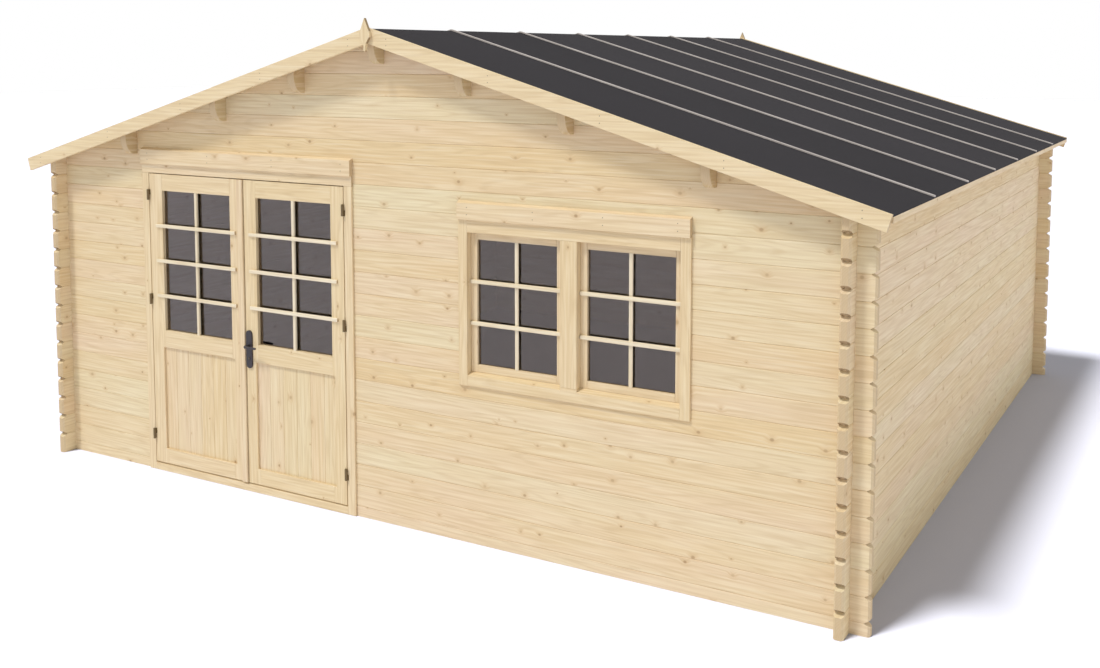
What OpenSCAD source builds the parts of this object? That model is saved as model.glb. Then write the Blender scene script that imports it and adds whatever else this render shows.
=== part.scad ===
// Garden log cabin of interlocking spruce logs, with a felt gable roof,
// a glazed double door and a double window in its front gable wall.
// Millimetres. X runs to the right, Y to the back and Z up, from the ground
// under the middle of the cabin.

/* [Logs] */
// Height of one course of logs
log_h = 114; // [110:1:130]
// Thickness of a log
log_t = 44; // [36:1:58]
// Length of a log end past the crossed corner
log_end = 88; // [60:1:90]
// Size of the chamfer along the log edges that makes the V joint
v_joint = 2.5; // [2:0.5:7]
// Width of the tongue on top of a log
tongue_w = 16; // [10:1:20]
// Height of the tongue on top of a log
tongue_h = 9; // [5:1:12]
// Length of the chamfer on the top and bottom of a log end
nose_l = 27; // [10:1:40]
// Height of the chamfer on the top and bottom of a log end
nose_h = 17; // [6:1:24]
// Chamfer on the upright edges of a log end
nose_side = 9; // [3:1:14]
// Play between the courses and in the corner laps
log_play = 0.3; // [0.2:0.05:1]

/* [Plan] */
// Width across the outer faces of the side walls
cabin_w = 4890; // [4700:10:5600]
// Depth across the outer faces of the front and back walls
cabin_d = 4890; // [3000:10:6000]
// Courses of logs in a side wall
side_courses = 16; // [16:1:19]

/* [Roof] */
// Pitch of the roof in degrees
roof_pitch = 16.3; // [14:0.1:24]
// Thickness of the roof boards
deck_t = 19; // [15:1:28]
// Thickness of the roofing felt
felt_t = 4; // [2:0.5:8]
// Reach of the roof past the side walls, to the outer face of the eave board
eave_reach = 169; // [120:1:260]
// Reach of the roof boards past the front and back walls
verge_reach = 92; // [91:1:160]
// Thickness of the eave boards and bargeboards
trim_t = 20; // [14:1:28]
// Height of the slim boards along the eaves
eave_board_w = 26; // [22:1:110]
// Width of the bargeboards
barge_w = 76; // [55:1:120]
// Height by which a bargeboard stands above the felt
barge_lip = 5; // [2:1:12]
// Strips of felt on each slope, with a batten between each pair
felt_strips = 7; // [3:1:9]
// Width of a felt batten
batten_w = 18; // [14:1:40]
// Thickness of a felt batten
batten_t = 8; // [6:1:20]
// Greatest width of the pointed board over the bargeboard joint
finial_w = 62; // [56:1:100]
// Height of the pointed board
finial_h = 166; // [156:1:240]
// Height of the pointed board's tip above the ridge
finial_rise = 52; // [20:1:60]
// Thickness of the pointed board
finial_t = 18; // [12:1:26]
// Height of the point
finial_point = 50; // [40:1:65]
// Width at the foot of the point
finial_neck = 42; // [30:1:54]
// Distance of the greatest width from the tip
finial_belly = 82; // [75:1:95]
// Width of the tail
finial_tail_w = 13; // [8:1:24]
// Length of the tail
finial_tail_l = 24; // [14:1:40]

/* [Purlins] */
// Width of a purlin
purlin_w = 44; // [40:1:80]
// Depth of a purlin
purlin_d = 145; // [100:1:170]
// Reach of the purlins past the front and back walls
purlin_reach = 84; // [20:1:90]
// Radius of a purlin's lower edges
purlin_r = 19; // [4:1:19]
// Distance of the upper purlins from the ridge
purlin_x1 = 526; // [400:1:620]
// Distance of the middle purlins from the ridge
purlin_x2 = 1092; // [900:1:1300]
// Distance of the lower purlins from the ridge
purlin_x3 = 1803; // [1600:1:2000]

/* [Door] */
// Middle of the door, from the middle of the front wall
door_x = -963; // [-1100:1:-900]
// Clear width between the door jambs
door_w = 1440; // [1200:1:1500]
// Height of the underside of the door head
door_z = 1755; // [1600:1:1760]
// Width of a jamb's face
jamb_w = 52; // [40:1:70]
// Lap of the frame's lips over the log ends
frame_lap = 25; // [12:1:30]
// Thickness of the frame's lips
lip_t = 12; // [8:1:18]
// Height of the threshold
sill_h = 45; // [25:1:60]
// Width of the strip that stops the leaves
stop_w = 15; // [8:1:25]
// Gap round a door leaf
leaf_gap = 5; // [5:0.5:8]
// Gap between the two leaves
meet_gap = 6; // [6:0.5:10]
// Distance of the meeting gap to the right of the door's middle
meet_shift = 15; // [0:1:30]
// Thickness of a leaf
leaf_t = 40; // [34:1:44]
// Width of a leaf's stiles, as the mean of the two leaves
stile_w = 93.5; // [88:0.5:140]
// Height of a leaf's bottom rail
rail_low = 88; // [60:1:140]
// Height of a leaf's lower panel
leaf_panel_h = 603; // [400:1:620]
// Height of a leaf's middle rail
rail_mid = 100; // [70:1:140]
// Height of a leaf's top rail
rail_top = 95; // [70:1:140]
// Amount by which the panel opening is wider than the glass on each side
panel_more = 17; // [0:1:25]
// Thickness of a leaf's lower panel
panel_t = 16; // [10:1:20]
// Depth of the rebates and grooves that hold glass and panels
rebate = 9; // [5:1:12]
// Thickness of the glass
glass_t = 4; // [3:0.5:8]
// Width of the strip along the meeting edge
strip_w = 41; // [30:1:60]
// Thickness of the meeting strip
strip_t = 9; // [6:1:22]
// Chamfer along the meeting strip's outer edges
strip_ease = 3; // [1:0.5:5]
// Height of the board over the door and the window
drip_h = 93; // [60:1:98]
// Thickness of the board over the door and the window
drip_t = 26; // [16:1:40]
// Fall of that board's top
drip_fall = 10; // [4:1:20]

/* [Ironwork] */
// Radius of a hinge barrel
barrel_r = 8; // [7:0.5:10]
// Height of half a hinge
barrel_h = 30; // [24:1:70]
// Radius of a hinge pin
pin_r = 4; // [3:0.5:5]
// Running clearance of pins and spindles, on the radius
pin_play = 0.08; // [0.02:0.01:0.1]
// Width of a hinge plate
plate_w = 11; // [11:1:30]
// Thickness of a hinge plate
plate_t = 3; // [2:0.5:5]
// Height of the lowest hinge above the foot of a leaf
hinge_low = 168; // [110:1:300]
// Height of the middle hinge above the middle of a leaf
hinge_mid = 118; // [-100:1:150]
// Depth of the highest hinge below the top of a leaf
hinge_high = 122; // [100:1:300]
// Height of the lever handle
lever_z = 832; // [800:1:980]
// Distance of the lever's spindle from the leaf's meeting edge
lever_x = 25; // [23:1:40]
// Width of the handle's backplate
lock_w = 42; // [30:1:44]
// Height of the handle's backplate
lock_h = 212; // [140:1:240]
// Thickness of the handle's backplate
lock_t = 8; // [5:1:12]
// Distance of the backplate's middle below the spindle
lock_drop = 21; // [0:1:40]
// Length of the lever, from its spindle
lever_l = 88; // [60:1:130]
// Radius of the lever's neck
lever_r = 8; // [6:0.5:10]
// Radius of the grip's end
lever_tip = 6; // [4:0.5:6]
// Radius of the bend from the neck to the grip
lever_bend = 16; // [11:1:20]
// Reach of the lever's grip in front of the backplate
lever_reach = 40; // [34:1:60]

/* [Window] */
// Left edge of the window frame, from the middle of the front wall
window_x = 473; // [300:1:560]
// Width of the window frame
window_w = 1240; // [1000:1:1250]
// Height of the window frame's bottom edge
window_z = 804; // [760:1:830]
// Height of the window frame
window_h = 828; // [780:1:850]
// Width of the window frame's upright faces
window_face = 51; // [40:1:70]
// Height of the window frame's top face
window_top = 63; // [45:1:80]
// Height of the window frame's bottom face
window_sill = 66; // [45:1:80]
// Fall of the window sill's top towards the outside
sill_fall = 14; // [4:1:18]
// Width of the post between the two sashes
mullion_w = 90; // [60:1:120]
// Depth from the frame's face to the sashes
sash_set = 36; // [15:1:44]
// Width of a sash member
sash_w = 37; // [28:1:60]
// Thickness of a sash
sash_t = 30; // [22:1:34]

/* [Hidden] */
$fn = 48;

// Colours
SPRUCE = "#E3CCA5";
SPRUCE_TRIM = "#EBD7B3";
FELT = "#454346";
BATTEN = "#BDB6A8";
GLASS = "#6B676B";
IRON = "#35312F";

// Distance between two faces that are seated on each other
seat = 0.3;
// Overrun of a cutting solid past the face that it cuts
cut = 1;
// Share of a log's height that a corner lap takes out above and below
lap = log_h / 4;
// Least share of a course that a gable's top log keeps
course_least = 0.1;
// Height by which a hinge pin stays below the top of its barrel
pin_short = 2;
// Play of the spindle in the leaf
spindle_play = 1;
// Steps along each curve of the pointed board
finial_steps = 8;

half_w = cabin_w / 2;
half_d = cabin_d / 2;
wall_x = half_w - log_t / 2;
wall_y = half_d - log_t / 2;
wall_h = side_courses * log_h;

// Roof: height of the boards' underside at the ridge, and its slope
slope = tan(roof_pitch);
ridge_under = wall_h + seat + half_w * slope;
ridge_top = ridge_under + (deck_t + felt_t + 2 * seat) / cos(roof_pitch);
roof_half = half_w + eave_reach;
deck_half = roof_half - trim_t - seat;
roof_y = half_d + verge_reach;
barge_y = roof_y + trim_t;

// Front and back courses start with half a log, so that the corners interlock
function course_low(i) = max(0, (i - 0.5) * log_h);
function course_high(i) = (i + 0.5) * log_h;

// Door
door_left = door_x - door_w / 2;
door_right = door_x + door_w / 2;
door_core = jamb_w - frame_lap;
door_cut_left = door_left - door_core;
door_cut_right = door_right + door_core;
door_cut_top = door_z + door_core;
face_y = -half_d - lip_t;
back_y = -half_d + log_t + lip_t;
leaf_low = sill_h + leaf_gap;
leaf_high = door_z - leaf_gap;
meet_x = door_x + meet_shift;
leaf_left_x0 = door_left + leaf_gap;
leaf_left_x1 = meet_x - meet_gap / 2;
leaf_right_x0 = meet_x + meet_gap / 2;
leaf_right_x1 = door_right - leaf_gap;
panel_low = leaf_low + rail_low;
panel_high = panel_low + leaf_panel_h;
glass_low = panel_high + rail_mid;
glass_high = leaf_high - rail_top;
leaf_glass_w = (door_w - 2 * leaf_gap - meet_gap) / 2 - 2 * stile_w;
// Relief of a leaf's meeting edge, so that the leaf swings clear
edge_relief = 3;

// Hinges: the axis lies in front of the gap between jamb and leaf
axis_y = face_y - barrel_r - seat;
axis_left = door_left + leaf_gap / 2;
axis_right = door_right - leaf_gap / 2;
hinge_heights = [
    leaf_low + hinge_low - barrel_h,
    (leaf_low + leaf_high) / 2 + hinge_mid - barrel_h,
    leaf_high - hinge_high - barrel_h
];

// Handle
lever_at = leaf_right_x0 + lever_x;

// Window
window_right = window_x + window_w;
window_high = window_z + window_h;
window_lap = frame_lap;
window_cut_x0 = window_x + window_lap;
window_cut_x1 = window_right - window_lap;
window_cut_z0 = window_z + window_lap;
window_cut_z1 = window_high - window_lap;
sash_open_w = (window_w - 2 * window_face - mullion_w) / 2;
sash_x = [window_x + window_face, window_right - window_face - sash_open_w];
sash_low = window_z + window_sill;
sash_high = window_high - window_top;
sash_y = face_y + sash_set;

// Courses of the front wall by where they lie
gable_first = floor(door_cut_top / log_h - 0.5) + 1;
gable_last = floor((ridge_under - seat) / log_h + 0.5 - course_least);
window_first = ceil(window_cut_z0 / log_h + 0.5);
window_last = floor(window_cut_z1 / log_h - 0.5);

// A log seen along its length: V edges, a tongue above and a groove below
module log_profile(low, high, under, over) {
    v0 = under ? v_joint : 0;
    v1 = over ? v_joint : 0;
    z0 = low + (under ? log_play : 0);
    half_t = log_t / 2;
    groove_w = tongue_w + 2 * log_play;
    difference() {
        union() {
            polygon([
                [-half_t + v0, z0], [half_t - v0, z0], [half_t, z0 + v0],
                [half_t, high - v1], [half_t - v1, high], [-half_t + v1, high],
                [-half_t, high - v1], [-half_t, z0 + v0]
            ]);
            if (over)
                translate([-tongue_w / 2, high - cut])
                    square([tongue_w, tongue_h + cut]);
        }
        if (under)
            translate([-groove_w / 2, low - cut])
                square([groove_w, tongue_h + 2 * log_play + cut]);
    }
}

// A log seen from its side: chamfered noses past the corners and the corner laps
module log_side(x0, x1, low, high, nose0, nose1, under, over, lap_under) {
    top = high + tongue_h + cut;
    bottom = low - cut;
    lap_w = log_t + 2 * log_play;
    difference() {
        translate([x0, bottom])
            square([x1 - x0, top - bottom]);
        for (nose = [[nose0, x0, 1], [nose1, x1, -1]])
            if (nose[0])
                translate([nose[1], 0])
                    scale([nose[2], 1]) {
                        if (under)
                            polygon([
                                [-cut, bottom], [nose_l, bottom], [nose_l, low],
                                [0, low + nose_h], [-cut, low + nose_h]
                            ]);
                        if (over)
                            polygon([
                                [-cut, top], [nose_l, top], [nose_l, high],
                                [0, high - nose_h], [-cut, high - nose_h]
                            ]);
                        if (lap_under)
                            translate([log_end - log_play, bottom])
                                square([lap_w, lap + low - bottom + log_play]);
                        if (over)
                            translate([log_end - log_play, high - lap])
                                square([lap_w, top - high + lap]);
                    }
    }
}

// A log seen from above: chamfered upright edges on its noses
module log_plan(x0, x1, nose0, nose1) {
    half_t = log_t / 2;
    c0 = nose0 ? nose_side : 0;
    c1 = nose1 ? nose_side : 0;
    polygon([
        [x0, half_t - c0], [x0, -half_t + c0], [x0 + c0, -half_t],
        [x1 - c1, -half_t], [x1, -half_t + c1], [x1, half_t - c1],
        [x1 - c1, half_t], [x0 + c0, half_t]
    ]);
}

// A log along X from x0 to x1, where a nose is an end that runs past a corner
module log(x0, x1, low, high, nose0 = true, nose1 = true, under = true, over = true, sole = false) {
    // A sole lies on the ground with a flat underside, and laps over the log that crosses it
    intersection() {
        translate([x0, 0, 0])
            rotate([90, 0, 90])
                linear_extrude(x1 - x0)
                    log_profile(low, high, under, over);
        translate([0, log_t, 0])
            rotate([90, 0, 0])
                linear_extrude(2 * log_t)
                    log_side(x0, x1, low, high, nose0, nose1, under, over, under || sole);
        translate([0, 0, low - cut])
            linear_extrude(high - low + tongue_h + 2 * cut)
                log_plan(x0, x1, nose0, nose1);
    }
}

// The space under the roof boards, less the seat
module under_roof() {
    reach = roof_half + eave_reach;
    translate([0, 2 * cabin_d, 0])
        rotate([90, 0, 0])
            linear_extrude(4 * cabin_d)
                polygon([
                    [-reach, -cabin_d], [reach, -cabin_d],
                    [reach, ridge_under - seat - reach * slope],
                    [0, ridge_under - seat],
                    [-reach, ridge_under - seat - reach * slope]
                ]);
}

// All purlins, grown by their play, where they pass through a gable
module purlin_holes() {
    for (x = [-purlin_x3, -purlin_x2, -purlin_x1, 0, purlin_x1, purlin_x2, purlin_x3])
        purlin(x, log_play, half_d + purlin_reach + cut, cut + seat);
}

module side_wall(side) {
    for (k = [0 : side_courses - 1]) {
        top = k == side_courses - 1;
        translate([side * wall_x, 0, 0])
            rotate([0, 0, 90])
                if (top)
                    log_top_course(side);
                else
                    log(
                        -half_d - log_end, half_d + log_end, k * log_h, (k + 1) * log_h,
                        under = k > 0, sole = k == 0
                    );
    }
}

// The top log of a side wall, which is planed to the slope of the roof
module log_top_course(side) {
    low = (side_courses - 1) * log_h;
    rise = log_t * slope;
    intersection() {
        log(-half_d - log_end, half_d + log_end, low, wall_h + rise, over = false);
        rotate([0, 0, -90])
            translate([-side * wall_x, 0, 0])
                under_roof();
        difference() {
            translate([-half_d - 2 * log_end, -log_t, low])
                cube([cabin_d + 4 * log_end, 2 * log_t, 2 * log_h]);
            for (end = [-1, 1])
                translate([end * wall_y - log_t / 2 - log_play, -log_t - cut, wall_h - lap])
                    cube([log_t + 2 * log_play, 2 * log_t + 2 * cut, log_h]);
        }
    }
}

// One course of the front or back wall between x0 and x1
module end_course(i, x0, x1, nose0, nose1) {
    log(x0, x1, course_low(i), course_high(i), nose0, nose1, under = i > 0);
}

// One course of a gable, cut to the roof and let in round the purlins
module gable_course(i) {
    reach = half_w + log_end;
    low = course_low(i);
    // The top course has no log above it
    last = i == gable_last;
    // Courses above the side walls' tops no longer cross them
    crossing = low < wall_h;
    span = crossing ? reach : min(reach, (ridge_under - low) / slope + log_h);
    difference() {
        intersection() {
            log(-span, span, low, course_high(i), crossing, crossing, over = !last);
            under_roof();
        }
        translate([0, wall_y, 0])
            purlin_holes();
        translate([0, -wall_y, 0])
            purlin_holes();
    }
}

module left_wall_logs() {
    color(SPRUCE) side_wall(-1);
}

module right_wall_logs() {
    color(SPRUCE) side_wall(1);
}

module back_wall_logs() {
    color(SPRUCE)
        translate([0, wall_y, 0])
            for (i = [0 : gable_first - 1])
                end_course(i, -half_w - log_end, half_w + log_end, true, true);
}

module back_gable_logs() {
    color(SPRUCE)
        translate([0, wall_y, 0])
            for (i = [gable_first : gable_last])
                gable_course(i);
}

module front_logs_left() {
    color(SPRUCE)
        translate([0, -wall_y, 0])
            for (i = [0 : gable_first - 1])
                end_course(i, -half_w - log_end, door_cut_left - seat, true, false);
}

// Clear space in the logs for the window frame
module window_hole() {
    translate([window_cut_x0 - seat, -log_t, window_cut_z0 - seat])
        cube([
            window_cut_x1 - window_cut_x0 + 2 * seat, 2 * log_t,
            window_cut_z1 - window_cut_z0 + 2 * seat
        ]);
}

// Courses under the window, from the door to the right corner
module front_logs_low() {
    color(SPRUCE)
        translate([0, -wall_y, 0])
            difference() {
                for (i = [0 : window_first - 1])
                    end_course(i, door_cut_right + seat, half_w + log_end, false, true);
                window_hole();
            }
}

// Courses between the door and the window
module front_logs_middle() {
    color(SPRUCE)
        translate([0, -wall_y, 0])
            for (i = [window_first : window_last])
                end_course(i, door_cut_right + seat, window_cut_x0 - seat, false, false);
}

// Courses between the window and the right corner
module front_logs_right() {
    color(SPRUCE)
        translate([0, -wall_y, 0])
            for (i = [window_first : window_last])
                end_course(i, window_cut_x1 + seat, half_w + log_end, false, true);
}

// Courses over the window, from the door to the right corner
module front_logs_high() {
    color(SPRUCE)
        translate([0, -wall_y, 0])
            difference() {
                for (i = [window_last + 1 : gable_first - 1])
                    end_course(i, door_cut_right + seat, half_w + log_end, false, true);
                window_hole();
            }
}

module front_gable_logs() {
    color(SPRUCE)
        translate([0, -wall_y, 0])
            difference() {
                for (i = [gable_first : gable_last])
                    gable_course(i);
                translate([door_cut_left - seat, -log_t, 0])
                    cube([door_cut_right - door_cut_left + 2 * seat, 2 * log_t, door_cut_top + seat]);
            }
}

// A purlin at a distance x from the ridge: planed to the roof above, rounded below
module purlin(x, grow = 0, reach = half_d + purlin_reach, raise = 0) {
    x0 = x - purlin_w / 2 - grow;
    x1 = x + purlin_w / 2 + grow;
    low = ridge_under - (abs(x) + purlin_w / 2) * slope - purlin_d - grow;
    r = purlin_r;
    function roof_at(u) = ridge_under - seat + raise - abs(u) * slope;
    translate([0, reach, 0])
        rotate([90, 0, 0])
            linear_extrude(2 * reach)
                union() {
                    polygon([
                        [x0, low + r], [x0 + r, low], [x1 - r, low], [x1, low + r],
                        [x1, roof_at(x1)], [x, roof_at(x)], [x0, roof_at(x0)]
                    ]);
                    translate([x0 + r, low + r])
                        circle(r);
                    translate([x1 - r, low + r])
                        circle(r);
                }
}

module ridge_purlin() {
    color(SPRUCE) purlin(0);
}

module side_purlins(side) {
    color(SPRUCE)
        for (x = [purlin_x1, purlin_x2, purlin_x3])
            purlin(side * x);
}

module left_purlins() {
    side_purlins(-1);
}

module right_purlins() {
    side_purlins(1);
}

// A layer of the roof's right slope, whose lower face lies at rise, square to the slope
module slope_layer(rise, thick, reach, y) {
    z0 = ridge_under + rise / cos(roof_pitch);
    z1 = z0 + thick / cos(roof_pitch);
    translate([0, y, 0])
        rotate([90, 0, 0])
            linear_extrude(2 * y)
                polygon([
                    [seat / 2, z0 - slope * seat / 2], [reach, z0 - slope * reach],
                    [reach, z1 - slope * reach], [seat / 2, z1 - slope * seat / 2]
                ]);
}

module roof_deck_right() {
    color(SPRUCE) slope_layer(0, deck_t, deck_half, roof_y - seat);
}

module roof_deck_left() {
    mirror([1, 0, 0]) roof_deck_right();
}

module felt_right() {
    color(FELT) slope_layer(deck_t + seat, felt_t, roof_half, roof_y - seat);
}

module felt_left() {
    mirror([1, 0, 0]) felt_right();
}

// Battens over the seams of the felt, from the ridge to the eave
module battens_right() {
    pitch_y = 2 * roof_y / felt_strips;
    rise = deck_t + felt_t + 2 * seat;
    z0 = ridge_under + rise / cos(roof_pitch);
    color(BATTEN)
        for (i = [1 : felt_strips - 1])
            translate([0, -roof_y + i * pitch_y, 0])
                intersection() {
                    translate([0, batten_w / 2, z0])
                        rotate([0, roof_pitch, 0])
                            translate([-batten_t, -batten_w, 0])
                                cube([roof_half / cos(roof_pitch) + batten_t, batten_w, batten_t]);
                    translate([seat / 2, -batten_w, 0])
                        cube([roof_half - seat / 2, 2 * batten_w, 2 * ridge_top]);
                }
}

module battens_left() {
    mirror([1, 0, 0]) battens_right();
}

// The right-hand bargeboard, upright at the front of the verge
module bargeboard() {
    rise = deck_t + felt_t + 2 * seat + barge_lip;
    high = ridge_under + rise / cos(roof_pitch);
    low = high - barge_w / cos(roof_pitch);
    // The lower end is cut square to the slope
    back = barge_w * sin(roof_pitch);
    tip = roof_half;
    rotate([90, 0, 0])
        linear_extrude(trim_t)
            polygon([
                [seat / 2, high - slope * seat / 2], [seat / 2, low - slope * seat / 2],
                [tip - back, low - slope * (tip - back)],
                [tip, high - slope * tip]
            ]);
}

module front_bargeboards() {
    color(SPRUCE_TRIM)
        translate([0, -roof_y, 0]) {
            bargeboard();
            mirror([1, 0, 0]) bargeboard();
        }
}

module back_bargeboards() {
    mirror([0, 1, 0]) front_bargeboards();
}

// An eave board along the ends of the roof boards, under the felt
module eave_board_right() {
    rise = deck_t / cos(roof_pitch);
    x0 = roof_half - trim_t;
    high0 = ridge_under + rise - slope * x0;
    high1 = ridge_under + rise - slope * roof_half;
    color(SPRUCE_TRIM)
        translate([0, roof_y - seat, 0])
            rotate([90, 0, 0])
                linear_extrude(2 * (roof_y - seat))
                    polygon([
                        [x0, high1 - eave_board_w], [roof_half, high1 - eave_board_w],
                        [roof_half, high1], [x0, high0]
                    ]);
}

module eave_board_left() {
    mirror([1, 0, 0]) eave_board_right();
}

// The pointed board over the joint of the bargeboards: a straight point, a round belly
// and an S curve down to a slim tail with a round end
module finial_front() {
    neck = finial_neck / 2;
    belly = finial_w / 2;
    tail = finial_tail_w / 2;
    swell = finial_belly - finial_point;
    sweep = finial_h - finial_tail_l - finial_belly;
    edge = [
        for (i = [0 : finial_steps])
            [neck + (belly - neck) * sin(90 * i / finial_steps), -finial_point - swell * i / finial_steps],
        for (i = [1 : finial_steps])
            [
                tail + (belly - tail) * (1 + cos(180 * i / finial_steps)) / 2,
                -finial_belly - sweep * i / finial_steps
            ],
        for (i = [0 : finial_steps - 1])
            [tail * cos(90 * i / finial_steps), -finial_h + tail * (1 - sin(90 * i / finial_steps))]
    ];
    far_edge = [for (i = [len(edge) - 1 : -1 : 0]) [-edge[i][0], edge[i][1]]];
    color(SPRUCE_TRIM)
        translate([0, -barge_y - seat, ridge_top + finial_rise])
            rotate([90, 0, 0])
                linear_extrude(finial_t)
                    polygon(concat([[0, 0]], edge, [[0, -finial_h]], far_edge));
}

module finial_back() {
    mirror([0, 1, 0]) finial_front();
}

// A member of a frame that grips the cut ends of the logs, seen along its length:
// x runs from its inner face to the outer edge of its lips
module grip_profile(face, core) {
    difference() {
        translate([0, face_y])
            square([face, back_y - face_y]);
        translate([core, -half_d - seat])
            square([face, log_t + 2 * seat]);
    }
}

module door_jambs() {
    color(SPRUCE_TRIM) {
        translate([door_right, 0, 0])
            linear_extrude(door_z - seat)
                grip_profile(jamb_w, door_core);
        translate([door_left, 0, 0])
            mirror([1, 0, 0])
                linear_extrude(door_z - seat)
                    grip_profile(jamb_w, door_core);
    }
}

module door_head() {
    color(SPRUCE_TRIM)
        difference() {
            translate([door_left - jamb_w, 0, door_z])
                rotate([90, 0, 90])
                    linear_extrude(door_w + 2 * jamb_w)
                        mirror([1, -1])
                            grip_profile(jamb_w, door_core);
            // Between the lips the head ends at the cut ends of the logs
            for (x = [door_left - jamb_w - cut, door_cut_right])
                translate([x, -half_d - seat, door_z - cut])
                    cube([frame_lap + cut, log_t + 2 * seat, jamb_w + 2 * cut]);
        }
}

module door_threshold() {
    nose = lip_t;
    color(SPRUCE_TRIM)
        translate([door_left + seat, 0, 0])
            rotate([90, 0, 90])
                linear_extrude(door_w - 2 * seat)
                    polygon([
                        [face_y, 0], [back_y, 0], [back_y, sill_h],
                        [face_y + nose, sill_h], [face_y, sill_h - nose / 2]
                    ]);
}

// Strips on the frame that the closed leaves come to
module door_stops() {
    y0 = face_y + leaf_t + leaf_gap;
    depth = back_y - y0;
    color(SPRUCE_TRIM) {
        translate([door_left + seat, y0, sill_h + seat])
            cube([stop_w, depth, door_z - sill_h - 2 * seat]);
        translate([door_right - seat - stop_w, y0, sill_h + seat])
            cube([stop_w, depth, door_z - sill_h - 2 * seat]);
        translate([door_left + stop_w + 2 * seat, y0, door_z - seat - stop_w])
            cube([door_w - 2 * stop_w - 4 * seat, depth, stop_w]);
    }
}

// A weather board over an opening, with a sloped top
module drip_board(x0, width, low) {
    translate([x0, -half_d - seat, low + seat])
        rotate([90, 0, 90])
            linear_extrude(width)
                polygon([[-drip_t, 0], [0, 0], [0, drip_h], [-drip_t, drip_h - drip_fall]]);
}

module door_drip_board() {
    color(SPRUCE_TRIM)
        drip_board(door_left - jamb_w, door_w + 2 * jamb_w, door_z + jamb_w);
}

// Members of a frame, cut from its whole form: each span is the width of one member, or
// of a column of rails between two uprights
module members(spans) {
    for (span = spans)
        intersection() {
            children();
            translate([span[0], -half_d - log_t, -cut])
                cube([span[1] - span[0], 3 * log_t, wall_h]);
        }
}

// A leaf's stiles, and the rails between them
module leaf_frame(x0, x1, meet) {
    mid = (x0 + x1) / 2;
    inner = (leaf_glass_w + seat) / 2;
    members([
        [x0 - cut, mid - inner],
        [mid - inner + seat, mid + inner - seat],
        [mid + inner, x1 + cut]
    ])
        leaf_form(x0, x1, meet);
}

// A leaf's frame between x0 and x1; meet is -1 or 1 for the side of its meeting edge
module leaf_form(x0, x1, meet) {
    mid = (x0 + x1) / 2;
    glass_half = leaf_glass_w / 2;
    panel_half = glass_half + panel_more;
    relief0 = meet < 0 ? edge_relief : 0;
    relief1 = meet > 0 ? edge_relief : 0;
    panel_y = face_y + (leaf_t - panel_t) / 2;
    back = face_y + leaf_t;
    difference() {
        translate([0, 0, leaf_low])
            linear_extrude(leaf_high - leaf_low)
                polygon([
                    [x0, face_y], [x1, face_y], [x1 - relief1, back], [x0 + relief0, back]
                ]);
        // Glass opening, with its rebate from inside
        translate([mid - glass_half, face_y - cut, glass_low])
            cube([leaf_glass_w, leaf_t + 2 * cut, glass_high - glass_low]);
        translate([mid - glass_half - rebate, face_y + leaf_t / 2, glass_low - rebate])
            cube([leaf_glass_w + 2 * rebate, leaf_t, glass_high - glass_low + 2 * rebate]);
        // Panel opening, with its groove
        translate([mid - panel_half, face_y - cut, panel_low])
            cube([2 * panel_half, leaf_t + 2 * cut, leaf_panel_h]);
        translate([mid - panel_half - rebate, panel_y - seat, panel_low - rebate])
            cube([2 * (panel_half + rebate), panel_t + 2 * seat, leaf_panel_h + 2 * rebate]);
    }
}

module leaf_panel(x0, x1) {
    panel_half = leaf_glass_w / 2 + panel_more + rebate - seat;
    translate([(x0 + x1) / 2 - panel_half, face_y + (leaf_t - panel_t) / 2, panel_low - rebate + seat])
        cube([2 * panel_half, panel_t, leaf_panel_h + 2 * (rebate - seat)]);
}

module leaf_glass(x0, x1) {
    glass_half = leaf_glass_w / 2 + rebate - seat;
    translate([(x0 + x1) / 2 - glass_half, face_y + leaf_t / 2 + seat, glass_low - rebate + seat])
        cube([2 * glass_half, glass_t, glass_high - glass_low + 2 * (rebate - seat)]);
}

module left_leaf_frame() {
    color(SPRUCE_TRIM) leaf_frame(leaf_left_x0, leaf_left_x1, 1);
}

module left_leaf_panel() {
    color(SPRUCE) leaf_panel(leaf_left_x0, leaf_left_x1);
}

module left_leaf_glass() {
    color(GLASS) leaf_glass(leaf_left_x0, leaf_left_x1);
}

module right_leaf_frame() {
    back = face_y + leaf_t;
    color(SPRUCE_TRIM)
        difference() {
            leaf_frame(leaf_right_x0, leaf_right_x1, -1);
            translate([lever_at, back + cut, lever_z])
                rotate([90, 0, 0])
                    cylinder(r = lever_r + spindle_play, h = leaf_t + 2 * cut);
        }
}

module right_leaf_panel() {
    color(SPRUCE) leaf_panel(leaf_right_x0, leaf_right_x1);
}

module right_leaf_glass() {
    color(GLASS) leaf_glass(leaf_right_x0, leaf_right_x1);
}

// A strip along the left leaf's meeting edge, on its outer face
module meeting_strip() {
    color(SPRUCE_TRIM)
        translate([leaf_left_x1 - strip_w, face_y - seat, leaf_low])
            linear_extrude(leaf_high - leaf_low)
                polygon([
                    [0, 0], [0, -strip_t + strip_ease], [strip_ease, -strip_t],
                    [strip_w - strip_ease, -strip_t], [strip_w, -strip_t + strip_ease], [strip_w, 0]
                ]);
}

// A plate from a hinge barrel onto the wood beside it
module hinge_plate(side) {
    translate([side < 0 ? -plate_w : 0, barrel_r - plate_t, 0])
        cube([plate_w, plate_t, barrel_h]);
}

// The half of a hinge on a jamb, with the pin that the leaf's half drops onto
module hinge_pin(side) {
    cylinder(r = barrel_r, h = barrel_h);
    hinge_plate(side);
    cylinder(r = pin_r, h = 2 * barrel_h - pin_short);
}

// The half of a hinge on a leaf, a barrel with a plate
module hinge_barrel(side) {
    difference() {
        union() {
            cylinder(r = barrel_r, h = barrel_h);
            hinge_plate(side);
        }
        translate([0, 0, -cut])
            cylinder(r = pin_r + pin_play, h = barrel_h + 2 * cut);
    }
}

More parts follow.
